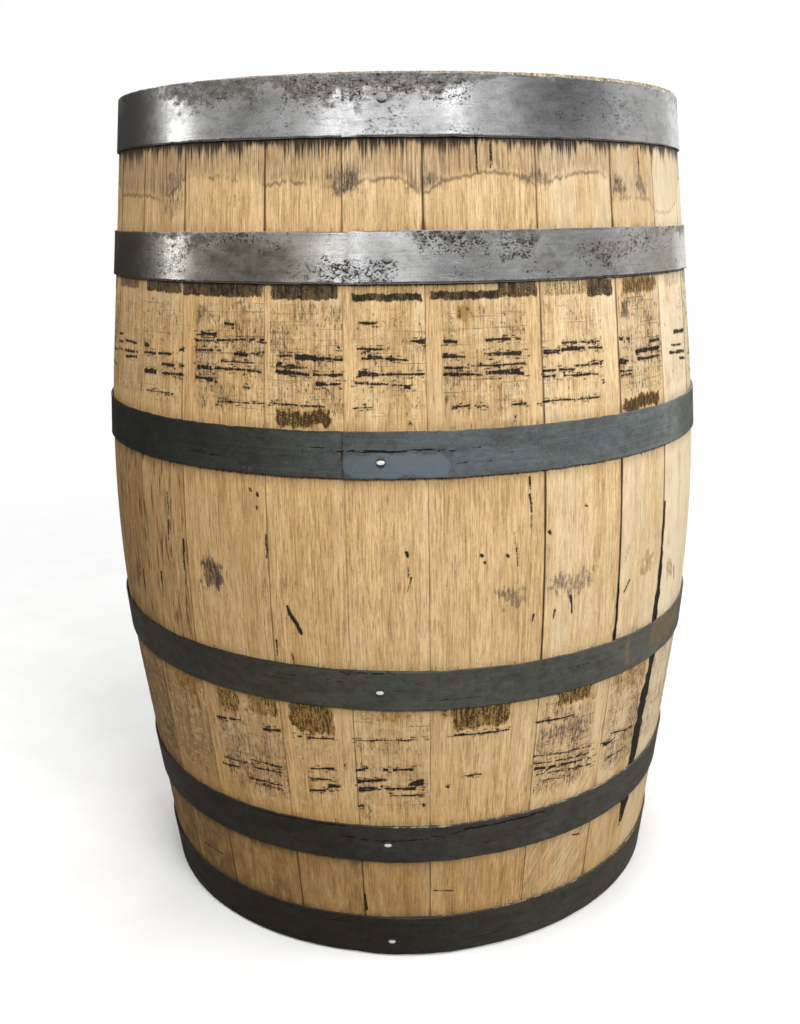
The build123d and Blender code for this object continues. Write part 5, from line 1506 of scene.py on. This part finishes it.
# ------------------------------------------------------------------ heads
def make_board(prefix, n, a, b, z_mid, turn, outside):
    """One head board. outside is +1 when the weathered face looks up, -1 when it looks down."""
    a, b = max(a, -HEAD_R + 0.15), min(b, HEAD_R - 0.15)
    span = b - a
    edge = np.array([0.03, 0.3, 0.7, 1.3, 2.4])
    u = np.concatenate([a + edge, np.linspace(a + 5, b - 5, max(6, int(span / 4.5))), (b - edge)[::-1]])
    t = np.linspace(-1, 1, 121)
    t = np.sign(t) * (1 - (1 - np.abs(t)) ** 1.35)
    U = np.repeat(u[:, None], len(t), 1)
    L = np.sqrt(np.maximum(HEAD_R ** 2 - U ** 2, 1.0))
    V = L * t[None, :]
    r = np.hypot(U, V)
    ht = np.minimum(HEAD_T / 2, HEAD_RIM + HEAD_TAPER * np.maximum(HEAD_R - r, 0))
    d = np.minimum(U - a, b - U)
    rim_a, rim_b = a > -HEAD_R + 1, b < HEAD_R - 1
    near = np.minimum(np.where(rim_a, U - a, 99.0), np.where(rim_b, b - U, 99.0))
    fil = np.clip(0.9 - near, 0, 0.9)
    fil = 0.9 - np.sqrt(np.maximum(0.81 - fil ** 2, 0))
    inside = ramp(HEAD_R - r, 1.0, 12.0)
    seed = 800 + 10 * n + (5 if prefix == "top" else 0)
    wear = (0.35 * fbm(U / 30, V / 140, seed) + 0.12 * vnoise(U / 3.2, V / 50, seed + 1)
            + 0.35 * rng_board[prefix][n]) * inside
    zo = ht - np.minimum(fil, ht * 0.4) - wear
    zi = -ht + np.minimum(fil, ht * 0.4)
    if outside > 0:
        z_up, z_dn = zo, zi
    else:
        z_up, z_dn = -zi, -zo
    ang = math.radians(turn)
    X, Y = U * math.cos(ang) - V * math.sin(ang), U * math.sin(ang) + V * math.cos(ang)
    up = np.stack([X, Y, z_mid + z_up], -1)
    dn = np.stack([X, Y, z_mid + z_dn], -1)
    m = U.size
    iu = np.arange(m).reshape(U.shape)
    il = iu + m
    q_up = grid_quads(iu).reshape(-1, 4)
    q_dn = grid_quads(il).reshape(-1, 4)[:, ::-1]
    ring_u = np.concatenate([iu[:, 0], iu[-1, 1:], iu[-2::-1, -1], iu[0, -2:0:-1]])
    ring_l = ring_u + m
    q_side = np.stack([ring_l, np.roll(ring_l, -1), np.roll(ring_u, -1), ring_u], -1)
    quads = np.concatenate([q_up, q_dn, q_side])
    out_id, in_id = (0, 1) if outside > 0 else (1, 0)
    ids = np.concatenate([np.full(len(q_up), out_id), np.full(len(q_dn), in_id), np.full(len(q_side), 2)])
    co = np.concatenate([up.reshape(-1, 3), dn.reshape(-1, 3)])
    seam = np.exp(-(near / 1.5) ** 2).ravel()
    gco = np.stack([U + 150.0 * n, V, 0 * U + seed * 0.37], -1).reshape(-1, 3)
    two = lambda v: np.concatenate([v.ravel(), v.ravel()])
    fields = {"edge": two(HEAD_R - r), "seam": np.concatenate([seam, seam])}
    name = "%s_head_board_%d" % (prefix, n + 1)
    obj = build(name + "_oak", co * MM, quads, (), (OAK_HEAD, CHAR, OAK_END), ids, fields,
                {"gco": np.concatenate([gco, gco])}, sharp=38.0)
    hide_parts(name)
    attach(obj, "barrel")


rng_board = {"top": rng.uniform(0.1, 1.2, 6), "bottom": rng.uniform(0.1, 1.2, 6)}
cuts = (-HEAD_R,) + BOARD_CUTS + (HEAD_R,)
for n in range(6):
    make_board("top", n, cuts[n] + 0.03, cuts[n + 1] - 0.03, H - HEAD_Z, TOP_TURN, +1)
    make_board("bottom", n, cuts[n] + 0.03, cuts[n + 1] - 0.03, HEAD_Z, BOTTOM_TURN, -1)

for node in ("top_head_dowels", "bottom_head_dowels"):
    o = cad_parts[node]
    o.data.materials.clear()
    o.data.materials.append(DOWEL)

# ------------------------------------------------------------------ bung
def make_bung():
    seg = 96
    y1 = R_BILGE + BUNG_PROUD
    y0 = y1 - BUNG_L

    def rad(y):
        return BUNG_R - 0.2 - (R_BILGE - y) * BUNG_TAPER
    prof = [(0.05, y0), (8.0, y0), (16.0, y0), (rad(y0) - 1.4, y0), (rad(y0) - 0.5, y0 + 0.4), (rad(y0 + 1.3), y0 + 1.3)]
    prof += [(rad(y), y) for y in np.linspace(y0 + 5, y1 - 3.0, 8)]
    prof += [(rad(y1 - 1.5), y1 - 1.5), (rad(y1) - 0.35, y1 - 0.75), (rad(y1) - 1.0, y1 - 0.35)]
    prof += [(q, y1 - 0.30 + 0.28 * (1 - (q / 25.0) ** 2)) for q in (23.6, 21.5, 19, 16.5, 14, 11.5, 9, 6.5, 4, 2, 0.05)]
    prof = np.array(prof)
    ang = np.linspace(0, 2 * np.pi, seg, endpoint=False)
    A, Q = np.meshgrid(ang, prof[:, 0], indexing="ij")
    Y = np.repeat(prof[None, :, 1], seg, 0)
    X, Z = Q * np.cos(A), Q * np.sin(A)
    # mallet dents in the outer face
    face = np.arange(len(prof)) >= len(prof) - 11
    dent = 0.5 * ramp(fbm(X / 9.0, Z / 9.0, 900), 0.52, 0.72) + 0.15 * vnoise(X / 2.2, Z / 2.2, 910)
    Y = Y - np.where(face[None, :], dent * ramp(25.5 - Q, 0.0, 4.0), 0.0)
    co = np.stack([X, Y, HALF + Z], -1).reshape(-1, 3)
    idx = np.arange(seg * len(prof)).reshape(seg, len(prof))
    ring = np.concatenate([idx, idx[:1]])
    quads = grid_quads(ring).reshape(-1, 4)[:, ::-1]
    gco = np.stack([X, Z, Y], -1).reshape(-1, 3)
    edge = np.where(face[None, :], 25.5 - Q, 2.0).ravel()
    obj = build("bung_turned", co * MM, quads, [idx[:, 0], idx[:, -1][::-1]], (BUNG,), None, {"edge": edge}, {"gco": gco},
                sharp=40.0)
    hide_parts("bung")
    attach(obj, "bung")


make_bung()

# ------------------------------------------------------------------ camera
cam_data = bpy.data.cameras.new("camera")
cam = bpy.data.objects.new("camera", cam_data)
scene.collection.objects.link(cam)
scene.camera = cam
pitch, roll, yaw = 0.28917, -0.01217, -0.01615
right0 = Vector((math.cos(yaw), math.sin(yaw), 0.0))
forward = Vector((-math.sin(yaw) * math.cos(pitch), math.cos(yaw) * math.cos(pitch), -math.sin(pitch)))
up0 = Vector((-math.sin(yaw) * math.sin(pitch), math.cos(yaw) * math.sin(pitch), math.cos(pitch)))
cam_x = right0 * math.cos(roll) + up0 * math.sin(roll)
cam_y = up0 * math.cos(roll) - right0 * math.sin(roll)
cam_z = -forward
cam.matrix_world = Matrix(((cam_x.x, cam_y.x, cam_z.x, 0.0), (cam_x.y, cam_y.y, cam_z.y, -1.2759),
                           (cam_x.z, cam_y.z, cam_z.z, 0.7604), (0, 0, 0, 1)))
cam_data.sensor_width = 36.0
cam_data.lens = 1077.79 * 36.0 / 1024.0
cam_data.shift_x = -(422.39 - 400.0) / 1024.0
cam_data.shift_y = (533.92 - 512.0) / 1024.0
cam_data.clip_start = 0.05
cam_data.clip_end = 60.0

# ------------------------------------------------------------------ floor, world, lights
def make_floor():
    n, m = 96, 24
    ang = np.linspace(0, 2 * np.pi, n, endpoint=False)
    rad = np.linspace(0.02, 6.0, m)
    A, Q = np.meshgrid(ang, rad, indexing="ij")
    co = np.stack([Q * np.cos(A), Q * np.sin(A), 0 * A], -1).reshape(-1, 3)
    idx = np.arange(n * m).reshape(n, m)
    ring = np.concatenate([idx, idx[:1]])
    quads = grid_quads(ring).reshape(-1, 4)[:, ::-1]
    g = Graph("pale_floor")
    tree = g.tree
    lp = g.node("ShaderNodeLightPath")
    pos = g.node("ShaderNodeNewGeometry").outputs["Position"]
    dist = g.node("ShaderNodeVectorMath", operation="LENGTH")
    tree.links.new(pos, dist.inputs[0])
    grain = g.noise(g.scaled(pos, (9.0, 9.0, 9.0)), 4, 0.6)
    tree.nodes.remove(g.bsdf)
    pale = g.node("ShaderNodeBsdfDiffuse")
    g.put(pale.inputs["Color"], g.mix(g.ease(grain, 0.3, 0.7), (0.90, 0.90, 0.89), (0.86, 0.86, 0.85)))
    dim = g.node("ShaderNodeBsdfDiffuse")
    dim.inputs["Color"].default_value = (0.20, 0.19, 0.18, 1.0)
    one = g.node("ShaderNodeMixShader")
    tree.links.new(lp.outputs["Is Camera Ray"], one.inputs[0])
    tree.links.new(dim.outputs[0], one.inputs[1])
    tree.links.new(pale.outputs[0], one.inputs[2])
    clear = g.node("ShaderNodeBsdfTransparent")
    two = g.node("ShaderNodeMixShader")
    tree.links.new(g.ease(dist.outputs["Value"], 0.9, 2.2), two.inputs[0])
    tree.links.new(one.outputs[0], two.inputs[1])
    tree.links.new(clear.outputs[0], two.inputs[2])
    tree.links.new(two.outputs[0], g.out.inputs[0])
    obj = build("floor", co, quads, [idx[:, 0]], (g.mat,))


make_floor()

world = bpy.data.worlds.new("studio")
scene.world = world
world.use_nodes = True
tree = world.node_tree
tree.nodes.clear()
out = tree.nodes.new("ShaderNodeOutputWorld")
seen = tree.nodes.new("ShaderNodeBackground")
seen.inputs[0].default_value = (1, 1, 1, 1)
lit = tree.nodes.new("ShaderNodeBackground")
coord = tree.nodes.new("ShaderNodeTexCoord")
split = tree.nodes.new("ShaderNodeSeparateXYZ")
tree.links.new(coord.outputs["Generated"], split.inputs[0])
sky = tree.nodes.new("ShaderNodeValToRGB")
sky.color_ramp.elements[0].position = 0.50
sky.color_ramp.elements[0].color = (0.10, 0.095, 0.09, 1)
sky.color_ramp.elements[1].position = 1.0
sky.color_ramp.elements[1].color = (0.75, 0.76, 0.78, 1)
half_up = tree.nodes.new("ShaderNodeMapRange")
half_up.inputs["From Min"].default_value = -1.0
tree.links.new(split.outputs["Z"], half_up.inputs["Value"])
tree.links.new(half_up.outputs[0], sky.inputs[0])
tree.links.new(sky.outputs[0], lit.inputs[0])
lit.inputs[1].default_value = 0.50
pick = tree.nodes.new("ShaderNodeMixShader")
path_n = tree.nodes.new("ShaderNodeLightPath")
tree.links.new(path_n.outputs["Is Camera Ray"], pick.inputs[0])
tree.links.new(lit.outputs[0], pick.inputs[1])
tree.links.new(seen.outputs[0], pick.inputs[2])
tree.links.new(pick.outputs[0], out.inputs[0])


def area(name, at, aim, size, power, color=(1, 1, 1)):
    data = bpy.data.lights.new(name, "AREA")
    data.shape = "RECTANGLE"
    data.size, data.size_y = size
    data.energy = power
    data.color = color
    o = bpy.data.objects.new(name, data)
    scene.collection.objects.link(o)
    o.location = at
    o.rotation_euler = (Vector(aim) - Vector(at)).to_track_quat("-Z", "Y").to_euler()
    return o


def panel(name, azimuth, width, z, height, bright):
    """A soft panel that the steel mirrors, standing 2.5 m from the barrel."""
    a, across = math.radians(azimuth), 2.0 * 2.5 * math.tan(math.radians(width / 2))
    return area(name, (2.5 * math.sin(a), -2.5 * math.cos(a), z), (0.0, 0.0, z - 0.6), (across, height),
                math.pi * bright * across * height)


key = area("key", (1.15, -2.4, 2.0), (0.0, 0.0, 0.45), (1.3, 1.0), 55, (1.0, 0.985, 0.96))
ceiling = area("ceiling", (0.2, -0.9, 3.2), (0.0, 0.0, 0.3), (2.4, 1.4), 38)
side = area("side", (2.3, -0.5, 1.4), (0.0, 0.0, 0.45), (1.2, 1.2), 20)
fill = area("fill", (-2.0, -1.0, 2.3), (0.0, 0.0, 0.6), (1.4, 1.2), 20)
for lamp in (key, ceiling, side, fill):
    lamp.visible_glossy = False
panel("panel_left", -90, 9, 1.45, 1.1, 3.8)
panel("panel_left_wide", -62, 42, 1.5, 0.9, 0.30)
panel("panel_front_1", -36, 14, 1.45, 1.0, 0.42)
panel("panel_front_2", -23, 8, 1.45, 1.0, 2.5)
panel("panel_front_3", -3, 24, 1.45, 1.0, 1.15)
panel("panel_front_4", 22, 18, 1.72, 0.6, 2.6)
panel("panel_right", 40, 10, 1.6, 0.7, 0.60)
panel("panel_right_low", 62, 60, 1.10, 0.4, 0.55)
panel("panel_right_wide", 106, 40, 1.3, 1.3, 0.52)
panel("panel_right_back", 145, 34, 1.2, 1.4, 1.05)
area("back", (0.3, 2.6, 2.2), (0.0, 0.0, 0.5), (2.6, 1.8), 45)

scene.view_settings.view_transform = "Standard"
scene.view_settings.look = "None"

# ------------------------------------------------------------------ finish
bpy.context.view_layer.update()
